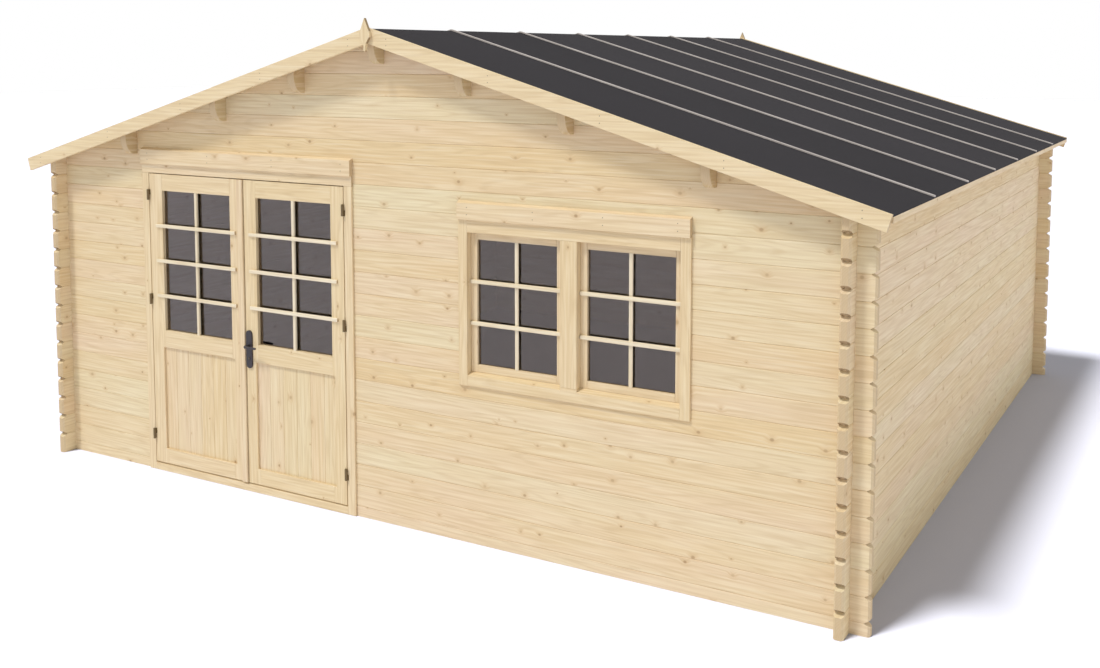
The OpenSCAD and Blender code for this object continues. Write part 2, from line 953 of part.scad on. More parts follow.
module hinge_pins() {
    color(IRON)
        for (z = hinge_heights) {
            translate([axis_left, axis_y, z])
                hinge_pin(-1);
            translate([axis_right, axis_y, z])
                hinge_pin(1);
        }
}

module left_hinge_barrels() {
    color(IRON)
        for (z = hinge_heights)
            translate([axis_left, axis_y, z + barrel_h + seat])
                hinge_barrel(1);
}

module right_hinge_barrels() {
    color(IRON)
        for (z = hinge_heights)
            translate([axis_right, axis_y, z + barrel_h + seat])
                hinge_barrel(-1);
}

// A round-ended backplate, standing up in the XZ plane, with a bearing for the spindle
module backplate() {
    straight = lock_h - lock_w;
    rotate([90, 0, 0])
        difference() {
            linear_extrude(lock_t)
                translate([0, -lock_drop])
                    union() {
                        square([lock_w, straight], center = true);
                        for (end = [-1, 1])
                            translate([0, end * straight / 2])
                                circle(d = lock_w);
                    }
            translate([0, 0, -cut])
                cylinder(r = lever_r + pin_play, h = lock_t + 2 * cut);
        }
}

module handle_plates() {
    color(IRON) {
        translate([lever_at, face_y - seat, lever_z])
            backplate();
        translate([lever_at, face_y + leaf_t + seat + lock_t, lever_z])
            backplate();
    }
}

// A lever's bend and grip, from the end of its neck: the neck points along -Y
module lever_grip() {
    translate([lever_bend, 0, 0])
        rotate([0, 0, 180])
            rotate_extrude(angle = 90)
                translate([lever_bend, 0])
                    circle(lever_r);
    translate([lever_bend, -lever_bend, 0])
        rotate([0, 90, 0])
            cylinder(r1 = lever_r, r2 = lever_tip, h = lever_l - lever_bend - lever_tip);
    translate([lever_l - lever_tip, -lever_bend, 0])
        sphere(r = lever_tip);
}

// The levers inside and outside, on one spindle through the leaf
module lever_handle() {
    out_y = face_y - seat - lock_t - lever_reach + lever_bend;
    in_y = face_y + leaf_t + seat + lock_t + lever_reach - lever_bend;
    color(IRON)
        translate([lever_at, 0, lever_z]) {
            translate([0, in_y, 0])
                rotate([90, 0, 0])
                    cylinder(r = lever_r, h = in_y - out_y);
            translate([0, out_y, 0])
                lever_grip();
            translate([0, in_y, 0])
                mirror([0, 1, 0])
                    lever_grip();
        }
}

// The window's frame: two uprights with the head, the sill and the post between them
module window_frame() {
    inner = [window_x + window_face, window_right - window_face];
    color(SPRUCE_TRIM) {
        members([[window_x - cut, inner[0] - seat], [inner[1] + seat, window_right + cut]])
            window_form();
        difference() {
            members([inner])
                window_form();
            // The joints of the post with the head and the sill
            for (z = [sash_low - seat, sash_high])
                translate([inner[0] - cut, face_y - cut, z])
                    cube([inner[1] - inner[0] + 2 * cut, back_y - face_y + 2 * cut, seat]);
            // The weathered top of the sill under each sash
            for (x = sash_x)
                translate([x, 0, sash_low - seat])
                    rotate([90, 0, 90])
                        linear_extrude(sash_open_w)
                            polygon([
                                [face_y - cut, 0], [sash_y, 0],
                                [face_y, -sill_fall], [face_y - cut, -sill_fall]
                            ]);
        }
    }
}

// The window frame's whole form: it grips the log ends all round and leaves two lights
module window_form() {
    core_y = back_y - face_y;
    difference() {
        translate([window_x, face_y, window_z])
            cube([window_w, core_y, window_h]);
        // The groove for the log ends
        difference() {
            translate([window_x - cut, -half_d - seat, window_z - cut])
                cube([window_w + 2 * cut, log_t + 2 * seat, window_h + 2 * cut]);
            translate([window_cut_x0, -half_d - log_t, window_cut_z0])
                cube([window_cut_x1 - window_cut_x0, 3 * log_t, window_cut_z1 - window_cut_z0]);
        }
        // The two lights
        for (x = sash_x)
            translate([x, face_y - cut, sash_low])
                cube([sash_open_w, core_y + 2 * cut, sash_high - sash_low]);
    }
}

module window_drip_board() {
    color(SPRUCE_TRIM) drip_board(window_x, window_w, window_high);
}

// Each sash has two stiles, and two rails between them
module window_sashes() {
    color(SPRUCE_TRIM)
        for (x = sash_x)
            members([
                [x, x + sash_w - seat],
                [x + sash_w, x + sash_open_w - sash_w],
                [x + sash_open_w - sash_w + seat, x + sash_open_w]
            ])
                difference() {
                    translate([x + seat, sash_y, sash_low + seat])
                        cube([sash_open_w - 2 * seat, sash_t, sash_high - sash_low - 2 * seat]);
                    translate([x + sash_w, sash_y - cut, sash_low + sash_w])
                        cube([sash_open_w - 2 * sash_w, sash_t + 2 * cut, sash_high - sash_low - 2 * sash_w]);
                    translate([x + sash_w - rebate, sash_y + sash_t / 2, sash_low + sash_w - rebate])
                        cube([
                            sash_open_w - 2 * (sash_w - rebate), sash_t,
                            sash_high - sash_low - 2 * (sash_w - rebate)
                        ]);
                }
}

module window_glass() {
    inset = sash_w - rebate + seat;
    color(GLASS)
        for (x = sash_x)
            translate([x + inset, sash_y + sash_t / 2 + seat, sash_low + inset])
                cube([sash_open_w - 2 * inset, glass_t, sash_high - sash_low - 2 * inset]);
}

left_wall_logs();
right_wall_logs();
back_wall_logs();
back_gable_logs();
front_logs_left();
front_logs_low();
front_logs_middle();
front_logs_right();
front_logs_high();
front_gable_logs();
ridge_purlin();
left_purlins();
right_purlins();
roof_deck_left();
roof_deck_right();
felt_left();
felt_right();
battens_left();
battens_right();
front_bargeboards();
back_bargeboards();
eave_board_left();
eave_board_right();
finial_front();
finial_back();
door_jambs();
door_head();
door_threshold();
door_stops();
door_drip_board();
left_leaf_frame();
left_leaf_panel();
left_leaf_glass();
meeting_strip();
right_leaf_frame();
right_leaf_panel();
right_leaf_glass();
hinge_pins();
left_hinge_barrels();
right_hinge_barrels();
handle_plates();
lever_handle();
window_frame();
window_drip_board();
window_sashes();
window_glass();
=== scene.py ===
import math

import bmesh
import bpy
from bpy.props import FloatProperty, FloatVectorProperty, IntProperty, PointerProperty
from bpy.types import Operator, Panel, PropertyGroup
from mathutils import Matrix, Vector


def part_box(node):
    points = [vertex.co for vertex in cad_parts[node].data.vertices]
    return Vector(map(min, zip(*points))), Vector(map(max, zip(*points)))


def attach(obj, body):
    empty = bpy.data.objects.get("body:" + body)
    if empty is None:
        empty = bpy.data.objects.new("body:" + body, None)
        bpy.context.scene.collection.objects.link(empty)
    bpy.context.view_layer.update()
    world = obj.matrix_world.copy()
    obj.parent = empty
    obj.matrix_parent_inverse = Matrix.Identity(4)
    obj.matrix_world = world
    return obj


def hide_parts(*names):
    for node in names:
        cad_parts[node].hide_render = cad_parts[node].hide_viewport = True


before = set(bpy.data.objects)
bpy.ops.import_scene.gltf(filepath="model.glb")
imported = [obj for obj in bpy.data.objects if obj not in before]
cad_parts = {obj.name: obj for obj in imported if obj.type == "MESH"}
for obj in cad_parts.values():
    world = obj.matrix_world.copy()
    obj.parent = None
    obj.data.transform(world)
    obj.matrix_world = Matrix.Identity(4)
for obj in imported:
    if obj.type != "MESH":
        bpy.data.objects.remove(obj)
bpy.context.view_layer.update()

bl_info = {
    "name": "Log cabin looks",
    "version": (1, 0, 0),
    "blender": (4, 5, 0),
    "location": "View3D > Sidebar > Cabin",
    "description": "Dresses the packed log cabin with spruce, felt, glass, bars and boards",
    "category": "Object",
}

MM = 0.001
LEAVES = ("left", "right")
SLOPES = ((1, "right"), (-1, "left"))

# Turns that lay a board's length along the texture's first axis
ALONG_X = (0.0, 0.0, 0.0)
ALONG_Y = (0.0, 0.0, -math.pi / 2)
ALONG_Z = (0.0, math.pi / 2, 0.0)

# Sizes of the CAD joinery that no node's box gives
PANE_HOLD = 8.7 * MM
FRAME_FACE = 51 * MM
POST_HALF = 45 * MM
SASH_STILE = 37 * MM
BATTEN_HALF = 9 * MM
SPINDLE_RISE = 21 * MM

# Gaps that keep neighbours apart
BOARD_PLAY = 0.2 * MM
BEAD_PLAY = 0.3 * MM
FLOOR_GAP = 0.5 * MM

# Camera: width of its sensor in millimetres, and how far it sees in metres
SENSOR_W = 36.0
SIGHT = 500.0

# Edges and curves
WELD_GAP = 0.01 * MM
FLAT_TURN = math.radians(1)
EDGE_TURN = math.radians(35)
SHARP_TURN = math.radians(30)
CURVE_STEPS = 12
CORNER_STEPS = 4
BARREL_SIDES = 24
BEAD_SLOPE = 0.7

# Purlins: the gap that tells two apart, and the width that the texture gives to one
PURLIN_GAP = 100 * MM
PURLIN_SPAN = 300 * MM

# Lock barrel and keyway
BARREL_RISE = 2.5 * MM
KEY_RISE = 0.3 * MM
KEY_HALF_W = 1.2 * MM
KEY_HALF_H = 5 * MM

# Nails: how many in a row, how far the rows stay from the ends, and where they lie
BATTEN_NAILS = 9
BARGE_NAILS = 5
BARGE_INSET = 120 * MM
BARGE_DROPS = (24 * MM, 56 * MM)
DRIP_NAILS = 4
DRIP_INSET = 60 * MM
DRIP_SHARES = (0.28, 0.66)

# Figure of the spruce: lengths and widths of its streaks, ring flames and changes of tone
STREAK_L = 360 * MM
FLAME_L = 1300 * MM
FLAME_W = 85 * MM
CAST_L = 800 * MM
CAST_W = 160 * MM
ARC_SPAN = 100 * MM
KNOT_STRETCH = 1.3
HALO_REACH = 2.8
KNOT_BEND = 1.6

# Indices of refraction; the pane's stands for the extra reflections of double glazing
SPRUCE_IOR = 1.5
PANE_IOR = 1.7

# How much paler a rubbed coat is
RUBBED = 1.35

# How far the random draws spread the boards' seeds and slide their grain
SEED_SPREAD = 97.0
GRAIN_SLIDE = 43.0


def linear(code):
    """Linear colour of an sRGB hex value."""
    shares = [int(code[i:i + 2], 16) / 255 for i in (1, 3, 5)]
    return tuple(
        s / 12.92 if s <= 0.04045 else ((s + 0.055) / 1.055) ** 2.4 for s in shares
    )


def colour(name, code, description):
    """Colour property from a hex value."""
    return FloatVectorProperty(
        name=name, description=description, subtype="COLOR", size=3,
        min=0.0, max=1.0, default=linear(code),
    )


def length(name, millimetres, description):
    """Length property from a size in millimetres."""
    return FloatProperty(
        name=name, description=description, subtype="DISTANCE", unit="LENGTH",
        min=0.0, default=millimetres * MM,
    )


def angle(name, degrees, description):
    """Angle property from a size in degrees."""
    return FloatProperty(
        name=name, description=description, subtype="ANGLE", unit="ROTATION",
        default=math.radians(degrees),
    )


def count(name, number, low, high, description):
    """Whole number property between two limits."""
    return IntProperty(name=name, description=description, default=number, min=low, max=high)


def strength(name, value, description):
    """Strength property of a light."""
    return FloatProperty(name=name, description=description, default=value, min=0.0)


def direction(name, way, description):
    """Direction property."""
    return FloatVectorProperty(
        name=name, description=description, subtype="DIRECTION", size=3, default=way,
    )


class CabinSpruce(PropertyGroup):
    """Colours and grain of the spruce."""

    course: length("Log course", 114.0, "Height of one course of logs")
    log_pale: colour("Log, pale", "#E1D2AB", "Early wood of the wall logs")
    log_warm: colour("Log, warm", "#DFC495", "Boards that are warmer than the rest")
    log_pink: colour("Log, rosy", "#E2CAA9", "Boards with a rosy cast")
    trim_pale: colour("Trim, pale", "#E5D1A8", "Early wood of the trim boards")
    trim_warm: colour("Trim, warm", "#DFC89C", "Warmer stretches of the trim boards")
    late_wood: colour("Late wood", "#C4A87D", "Darker lines of the year rings")
    sap_wood: colour("Sap wood", "#F1E4C6", "Paler streaks between the darker lines")
    knot: colour("Knot", "#94704A", "Heart of a knot")
    knot_halo: colour("Knot halo", "#CDAC7E", "Resinous wood round a knot")
    # The purlin colours are darker than the trim's as painted shade for the purlins' sides under the
    # eaves
    beam_shaded_pale: colour("Beam, pale", "#CBB78D", "Early wood of the purlins")
    beam_shaded_warm: colour("Beam, warm", "#C6AA7C", "Warmer stretches of the purlins")
    # End grain is darker; this colour is darkened further as painted shade on the shaded log-end
    # columns
    end_grain_and_shade: colour("End grain", "#CBB591", "Sawn ends of the logs")
    ring: length("Year ring", 9.0, "Spacing of the ring lines, drawn wide enough to show")
    streak: length("Grain streak", 12.0, "Width of the grain streaks, drawn wide enough to show")
    knot_gap: length("Knot cell", 150.0, "Size of the cells that may hold a knot")
    knot_size: length("Knot", 10.0, "Mean radius of a knot")
    # Painted shade: this dark colour goes on the downward-facing chamfers under the log ends, where
    # shade falls
    nose_shade: colour("Log nose", "#8E7350", "Sawn chamfers on the log ends")
    bar_pale: colour("Bar, pale", "#EBDFC4", "Early wood of the glazing bars")
    bar_warm: colour("Bar, warm", "#E2D3B1", "Warmer stretches of the glazing bars")
    edge: length("Eased edge", 1.5, "Rounding of the planed edges of trim boards and battens")


class CabinRoof(PropertyGroup):
    """Felt, battens, roof boards and purlins."""

    felt: colour("Felt", "#2B292C", "Mineral-faced felt")
    felt_grit: colour("Felt grit", "#3C383A", "Paler slate grains in the felt")
    batten: colour("Batten", "#CDC5BF", "Weathered pale battens")
    batten_dark: colour("Batten grain", "#B1A8A1", "Darker grain of the battens")
    pitch: angle("Pitch", 16.3, "Pitch of the roof")
    boards: count("Boards", 58, 10, 120, "Roof boards on each slope")
    groove: length("Board groove", 3.0, "Chamfer on the lower edges of the roof boards")
    grit: length("Grit", 5.0, "Grain of the felt, drawn coarse enough to show")
    end_l: length("Purlin end cut", 64.0, "Length of the curve under a purlin's end")
    end_h: length("Purlin end rise", 95.0, "Height of the curve under a purlin's end")
    seat_r: length("Purlin seat", 19.0, "Rounding of a purlin's lower edges between the walls")
    strips: count("Strips", 7, 3, 12, "Strips of felt on each slope")


class CabinJoinery(PropertyGroup):
    """Bars, boards, beads and metal of the door and the window."""

    bar_w: length("Bar width", 20.0, "Width of a glazing bar")
    bar_d: length("Bar depth", 11.0, "Depth of a glazing bar in front of the frame")
    stand: length("Bar stand-off", 8.0, "Gap between a pane and the upright bar before it")
    bar_ease: length("Bar chamfer", 3.0, "Chamfer on the outer edges of a bar")
    door_rows: count("Door rows", 4, 2, 8, "Rows of panes in a door light")
    window_rows: count("Window rows", 3, 2, 8, "Rows of panes in a window light")
    door_lap: length("Door bar lap", 45.0, "Lap of the door's level bars over the stiles")
    window_lap: length("Window bar lap", 34.0, "Lap of the window's level bars over the sash")
    bead_w: length("Bead", 9.0, "Face of the glazing beads on the room side")
    panel_boards: count("Panel boards", 6, 2, 12, "Boards in a door panel")
    panel_groove: length("Panel groove", 1.5, "Chamfer on the edges of the panel boards")
    glass: colour("Glass", "#DCD0CB", "Faint warm cast of the glazing")
    glass_sheen: colour("Glass sheen", "#FFF5EA", "Cast of what the glazing reflects straight ahead")
    bronze: colour("Hinge", "#665331", "Bronze satin coating of the hinges")
    brass: colour("Key slot", "#8F7B50", "Brass of the key slot")
    iron: colour("Iron", "#2E282B", "Dark satin coating of the handles")
    zinc: colour("Zinc", "#998D78", "Galvanised nail heads")
    head_r: length("Nail head", 2.5, "Radius of a nail head")
    head_h: length("Nail head rise", 1.0, "Height of a nail head")
    key_r: length("Lock barrel", 8.5, "Radius of the lock barrel under the lever")
    key_drop: length("Lock drop", 72.0, "Distance of the lock barrel below the spindle")


class CabinStage(PropertyGroup):
    """Floor, light and camera."""

    floor: colour("Floor", "#B2B3BD", "Studio floor, which its own lamp lights to white")
    floor_half: length("Floor", 60000.0, "Half the width of the floor")
    floor_lamp: strength("Floor lamp", 6.0, "Strength of the lamp on the floor")
    floor_way: direction("Floor lamp way", (0.165, 0.36, -1.0), "Way of the floor lamp's light")
    sky: strength("Sky", 0.62, "Strength of the even white light")
    fill: strength("Fill", 0.22, "Strength of the soft light on the right wall")
    fill_way: direction("Fill side", (0.86, 0.5, 0.0), "Side that the soft light comes from")
    sun: strength("Sun", 1.9, "Strength of the key light")
    sun_soft: angle("Lamp softness", 10.0, "Angle that each lamp fills")
    sun_height: angle("Sun height", 57.5, "Height of the key light above the ground")
    sun_turn: angle("Sun turn", 30.0, "Turn of the key light to the left of the front")
    lens: FloatProperty(
        name="Lens", description="Focal length", subtype="DISTANCE_CAMERA",
        unit="CAMERA", default=40.047,
    )
    camera_at: FloatVectorProperty(
        name="Camera place", description="Where the camera stands", subtype="XYZ",
        unit="LENGTH", size=3, default=(3.8406, -7.3878, 2.4446),
    )
    camera_yaw: angle("Camera turn", 29.992, "Turn of the camera to the left")
    camera_pitch: angle("Camera tilt", 4.925, "Tilt of the camera below level")
    camera_shift: FloatProperty(
        name="Camera shift", description="Rise of the picture in the frame", default=-0.16,
    )


# Nodes and meshes

# Kinds of nodes that are used most
MATH = "ShaderNodeMath"
MIX = "ShaderNodeMix"
RANGE = "ShaderNodeMapRange"
MAPPING = "ShaderNodeMapping"
NOISE = "ShaderNodeTexNoise"


def add(tree, kind, inputs=(), **settings):
    """Add a node: settings are its attributes. Its inputs, by name or in their order, are
    values, sockets to link, or nodes whose first output is linked."""
    made = tree.nodes.new(kind)
    for name, value in settings.items():
        setattr(made, name, value)
    for socket, value in inputs.items() if isinstance(inputs, dict) else enumerate(inputs):
        if isinstance(value, bpy.types.Node):
            value = value.outputs[0]
        if isinstance(value, bpy.types.NodeSocket):
            tree.links.new(value, made.inputs[socket])
        else:
            made.inputs[socket].default_value = value
    return made


def blank(name):
    """A new material with an empty tree."""
    material = bpy.data.materials.new(name)
    material.use_nodes = True
    material.node_tree.nodes.clear()
    return material, material.node_tree


def finish_material(material, inputs, relief=None):
    """Material with a principled surface; relief is the height, force and depth of its bumps."""
    tree = material.node_tree
    if relief:
        height, force, depth = relief
        bump = {"Height": height, "Strength": force, "Distance": depth}
        inputs["Normal"] = add(tree, "ShaderNodeBump", bump)
    surface = add(tree, "ShaderNodeBsdfPrincipled", inputs)
    add(tree, "ShaderNodeOutputMaterial", {"Surface": surface})
    return material


def rgba(value):
    """Opaque colour for a socket."""
    return (*value, 1.0)


def loft(bm, rings):
    """Closed solid through rings of points, all with the same count of points."""
    made = [[bm.verts.new(point) for point in ring] for ring in rings]
    bm.faces.new(made[0][::-1])
    bm.faces.new(made[-1])
    for lower, upper in zip(made, made[1:]):
        for i in range(len(lower)):
            j = (i + 1) % len(lower)
            bm.faces.new((lower[i], lower[j], upper[j], upper[i]))


def prism(bm, outline, low, high, place):
    """Closed prism: a 2D outline drawn from low to high, put in space by place(u, v, w)."""
    loft(bm, [[place(u, v, w) for u, v in outline] for w in (low, high)])


def stand(u, v, w):
    """Place for a prism whose outline is in x and y, drawn along z."""
    return (u, v, w)


def lie(u, v, w):
    """Place for a prism whose outline is in z and y, drawn along x."""
    return (w, v, u)


def stick_out(u, v, w):
    """Place for a prism whose outline is in x and z, drawn along y."""
    return (u, w, v)


def dome(bm, centre, out, radius, height, sides=12):
    """Low domed head of a nail at a point, facing out."""
    out = Vector(out).normalized()
    first = out.orthogonal().normalized()
    second = out.cross(first)
    centre = Vector(centre)
    turns = [2 * math.pi * k / sides for k in range(sides)]
    loft(bm, [
        [
            centre + out * (height * rise)
            + (first * math.cos(a) + second * math.sin(a)) * (radius * share)
            for a in turns
        ]
        for share, rise in ((1.0, -0.3), (1.0, 0.35), (0.72, 0.8), (0.35, 1.0))
    ])


def piece(name, bm, material, body, smooth=False):
    """Object from a bmesh, riding a CAD body; smooth rounds the shading of its curves."""
    bmesh.ops.recalc_face_normals(bm, faces=bm.faces)
    mesh = bpy.data.meshes.new(name)
    bm.to_mesh(mesh)
    bm.free()
    if smooth:
        mesh.shade_smooth()
        mesh.set_sharp_from_angle(angle=SHARP_TURN)
    if not mesh.polygons:
        raise RuntimeError(f"{name} has no faces")
    mesh.materials.append(material)
    made = bpy.data.objects.new(name, mesh)
    bpy.context.scene.collection.objects.link(made)
    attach(made, body)
    return made


def dress(node, material):
    """Give a CAD node a material in all its slots."""
    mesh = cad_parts[node].data
    if not mesh.materials:
        mesh.materials.append(material)
    for i in range(len(mesh.materials)):
        mesh.materials[i] = material


def ease_edges(node, width):
    """Rounded edges on a CAD node, by modifiers only."""
    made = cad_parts[node]
    weld = made.modifiers.new("Joined faces", "WELD")
    weld.merge_threshold = WELD_GAP
    whole = made.modifiers.new("Whole faces", "DECIMATE")
    whole.decimate_type = "DISSOLVE"
    whole.angle_limit = FLAT_TURN
    bevel = made.modifiers.new("Eased edges", "BEVEL")
    bevel.width = width
    bevel.segments = 2
    bevel.limit_method = "ANGLE"
    bevel.angle_limit = EDGE_TURN
    bevel.harden_normals = True


# Materials


def grain_place(tree, spot, turn, posts):
    """Place whose first axis runs along the grain: turned as a whole, and upright in the
    posts, which are boxes x0, x1, z0, z1."""
    where = add(tree, MAPPING, {"Vector": spot, "Rotation": turn})
    if not posts:
        return where
    at = add(tree, "ShaderNodeSeparateXYZ", [spot]).outputs
    stands = 0.0
    for x0, x1, z0, z1 in posts:
        within = [
            add(tree, MATH, (at[i], (a + b) / 2, (b - a) / 2), operation="COMPARE")
            for i, a, b in ((0, x0, x1), (2, z0, z1))
        ]
        both = add(tree, MATH, within, operation="MULTIPLY")
        stands = add(tree, MATH, (both, stands), operation="MAXIMUM")
    upright = add(tree, MAPPING, {"Vector": spot, "Rotation": ALONG_Z})
    inputs = {0: stands, 4: where, 5: upright}
    return add(tree, MIX, inputs, data_type="VECTOR").outputs[1]


def figure(tree, place, long, wide, detail, rough):
    """Figure in the wood, long by wide, drawn out along the grain."""
    where = add(tree, MAPPING, {"Vector": place, "Scale": (1 / long, 1 / wide, 1.0)})
    inputs = {"Vector": where, "Scale": 1.0, "Detail": detail, "Roughness": rough}
    return add(tree, NOISE, inputs, noise_dimensions="2D")


def knots_in(tree, flat, share):
    """Heart, halo and darkness of the knots: a share of the cells hold one each, a little
    longer along the grain than across it."""
    wood = bpy.context.scene.cabin_spruce
    gap = wood.knot_gap
    scale = (1 / (gap * KNOT_STRETCH), 1 / gap, 1.0)
    cells = add(tree, MAPPING, {"Vector": flat, "Scale": scale})
    found = add(
        tree, "ShaderNodeTexVoronoi", {"Vector": cells, "Scale": 1.0},
        voronoi_dimensions="2D", feature="F1",
    ).outputs
    draw = add(tree, "ShaderNodeSeparateColor", [found["Color"]]).outputs
    kept = add(tree, MATH, (draw[0], share), operation="LESS_THAN")
    mean = wood.knot_size / gap
    radius = add(tree, RANGE, (draw[1], 0.0, 1.0, 0.45 * mean, 1.35 * mean))
    reach = add(tree, MATH, (radius, HALO_REACH), operation="MULTIPLY")
    discs = []
    for edge in (radius, reach):
        fade = add(
            tree, RANGE, (found["Distance"], 0.0, edge, 1.0, 0.0),
            interpolation_type="SMOOTHSTEP",
        )
        discs.append(add(tree, MATH, (fade, kept), operation="MULTIPLY"))
    heart, halo = discs
    return heart, halo, add(tree, RANGE, (draw[2], 0.0, 1.0, 0.2, 0.62))


def cast_layers(tree, flat, lot, warm, rosy):
    """Shares of the warm and the rosy tone: one for each board, with slow changes along it."""
    cast = figure(tree, flat, CAST_L, CAST_W, 2.0, 0.5)
    shades = add(tree, "ShaderNodeSeparateColor", [cast.outputs["Color"]]).outputs
    lots = add(tree, "ShaderNodeSeparateColor", [lot.outputs["Color"]]).outputs
    warmth = add(tree, MATH, (shades[0], lots[0]), operation="ADD")
    warmth = add(tree, RANGE, (warmth, 0.3, 1.7))
    flush = add(tree, MATH, (shades[1], lots[1]), operation="MULTIPLY")
    flush = add(tree, RANGE, (flush, 0.05, 0.75))
    return [(warmth, rgba(warm)), (flush, rgba(rosy))]


def end_layers(tree, normal, turn, spans, shade_noses):
    """Shares and tones of the sawn ends: darker, partly as painted shade, with the rings as arcs.
    Where shade_noses is set, the downward-facing slanting cut under a log end gets painted shade,
    darker still."""
    wood = bpy.context.scene.cabin_spruce
    facing = add(tree, MAPPING, {"Vector": normal, "Rotation": turn})
    facing = add(tree, "ShaderNodeSeparateXYZ", [facing]).outputs
    endwise = add(tree, MATH, [facing[0]], operation="ABSOLUTE")
    sides = [add(tree, MATH, span, operation="FLOORED_MODULO") for span in spans.values()]
    corner = add(tree, "ShaderNodeCombineXYZ", sides)
    pith = add(tree, "ShaderNodeVectorMath", [corner], operation="LENGTH").outputs["Value"]
    arc = add(tree, MATH, (pith, 2 * math.pi / wood.ring), operation="MULTIPLY")
    arc = add(tree, MATH, [arc], operation="SINE")
    arc = add(tree, RANGE, (arc, -1.0, 1.0, 0.2, 0.5))
    # The end colour is darker end grain and partly painted shade
    tones = {0: arc, 6: rgba(wood.end_grain_and_shade), 7: rgba(wood.late_wood)}
    end = add(tree, MIX, tones, data_type="RGBA").outputs[2]
    layers = [(add(tree, RANGE, (endwise, 0.55, 0.8, 0.0, 0.95)), end)]
    # Painted shade on the downward-facing slanting cuts under the log ends
    if shade_noses:
        slant = add(tree, MATH, (facing[2], -0.6), operation="LESS_THAN")
        turned = add(tree, MATH, (endwise, 0.35), operation="GREATER_THAN")
        nose_shade = add(tree, MATH, (slant, turned), operation="MULTIPLY")
        nose_shade = add(tree, MATH, (nose_shade, 0.8), operation="MULTIPLY")
        layers.append((nose_shade, rgba(wood.nose_shade)))
    return layers


def spruce(name, turn, pale, warm, rosy, board=None, posts=(), knot_share=0.6, shade_noses=True):
    """Planed natural spruce, untreated: pale, matt, with soft streaks along the grain,
    ring lines that open into flames, small brown knots and a tone for each board.

    turn lays the grain along the texture's first axis. board is (axis, width, offset) of
    the boards in the turned frame. posts are the boxes x0, x1, z0, z1 where the grain stands.
    shade_noses paints shade on the downward-facing slanting cuts under the ends.
    """
    wood = bpy.context.scene.cabin_spruce
    material, tree = blank(name)
    coord = add(tree, "ShaderNodeTexCoord").outputs
    where = grain_place(tree, coord["Object"], turn, posts)
    split = add(tree, "ShaderNodeSeparateXYZ", [where]).outputs
    across = add(tree, MATH, (split[1], split[2]), operation="ADD")

    # A number for each board, from its object and its place in the wall
    own = add(tree, "ShaderNodeObjectInfo").outputs["Random"]
    seed = add(tree, MATH, (own, SEED_SPREAD), operation="MULTIPLY")
    spans = {i: (split[i], ARC_SPAN) for i in (1, 2)}
    if board:
        axis, width, offset = board
        place = add(tree, MATH, (split[axis], offset), operation="ADD")
        spans[axis] = (place, width)
        index = add(tree, MATH, (place, width), operation="DIVIDE")
        index = add(tree, MATH, [index], operation="FLOOR")
        seed = add(tree, MATH, (index, seed), operation="ADD")
    lot = add(tree, "ShaderNodeTexWhiteNoise", {"W": seed}, noise_dimensions="1D")
    drawn = lot.outputs["Value"]
    slide = add(tree, MATH, (drawn, GRAIN_SLIDE, split[0]), operation="MULTIPLY_ADD")
    flat = add(tree, "ShaderNodeCombineXYZ", (slide, across))
    heart, halo, darkness = knots_in(tree, flat, knot_share)

    # The grain bends round a knot
    bend = KNOT_BEND * wood.knot_size
    bent = add(tree, MATH, (halo, bend, across), operation="MULTIPLY_ADD")
    flow = add(tree, "ShaderNodeCombineXYZ", (slide, bent))
    streak = figure(tree, flow, STREAK_L, wood.streak, 4.0, 0.5)
    flame = figure(tree, flow, FLAME_L, FLAME_W, 1.5, 0.4)
    turns = FLAME_W / wood.ring * 2 * math.pi
    ring = add(tree, MATH, (flame, turns), operation="MULTIPLY")
    ring = add(tree, MATH, [ring], operation="SINE")
    ring = add(tree, RANGE, (ring, 0.1, 1.0))

    # Casts, rings, pale streaks, dark streaks, knots and sawn ends with their painted shade, one
    # over the other
    layers = cast_layers(tree, flat, lot, warm, rosy) + [
        (add(tree, MATH, (ring, 0.22), operation="MULTIPLY"), rgba(wood.late_wood)),
        (add(tree, RANGE, (streak, 0.5, 0.25, 0.0, 0.34)), rgba(wood.sap_wood)),
        (add(tree, RANGE, (streak, 0.48, 0.8, 0.0, 0.34)), rgba(wood.late_wood)),
        (add(tree, MATH, (halo, 0.45), operation="MULTIPLY"), rgba(wood.knot_halo)),
        (add(tree, RANGE, (heart, 0.1, 0.7, 0.0, darkness)), rgba(wood.knot)),
    ]
    if not posts:
        layers += end_layers(tree, coord["Normal"], turn, spans, shade_noses)
    tone = rgba(pale)
    for share, over in layers:
        tone = add(tree, MIX, {0: share, 6: tone, 7: over}, data_type="RGBA").outputs[2]

    rough = add(tree, RANGE, (streak, 0.0, 1.0, 0.58, 0.78))
    relief = add(tree, MATH, (heart, -0.6, streak), operation="MULTIPLY_ADD")
    return finish_material(
        material,
        {"Base Color": tone, "Roughness": rough, "IOR": SPRUCE_IOR, "Specular IOR Level": 0.25},
        (relief, 0.25, 0.6 * MM),
    )


def log_spruce(name, turn, board):
    """Spruce of the logs and of other broad boards."""
    wood = bpy.context.scene.cabin_spruce
    return spruce(name, turn, wood.log_pale, wood.log_warm, wood.log_pink, board)


def trim_spruce(name, turn, posts=()):
    """Spruce of the trim and the joinery, with fewer knots."""
    wood = bpy.context.scene.cabin_spruce
    return spruce(
        name, turn, wood.trim_pale, wood.trim_warm, wood.log_pink, posts=posts, knot_share=0.4
    )


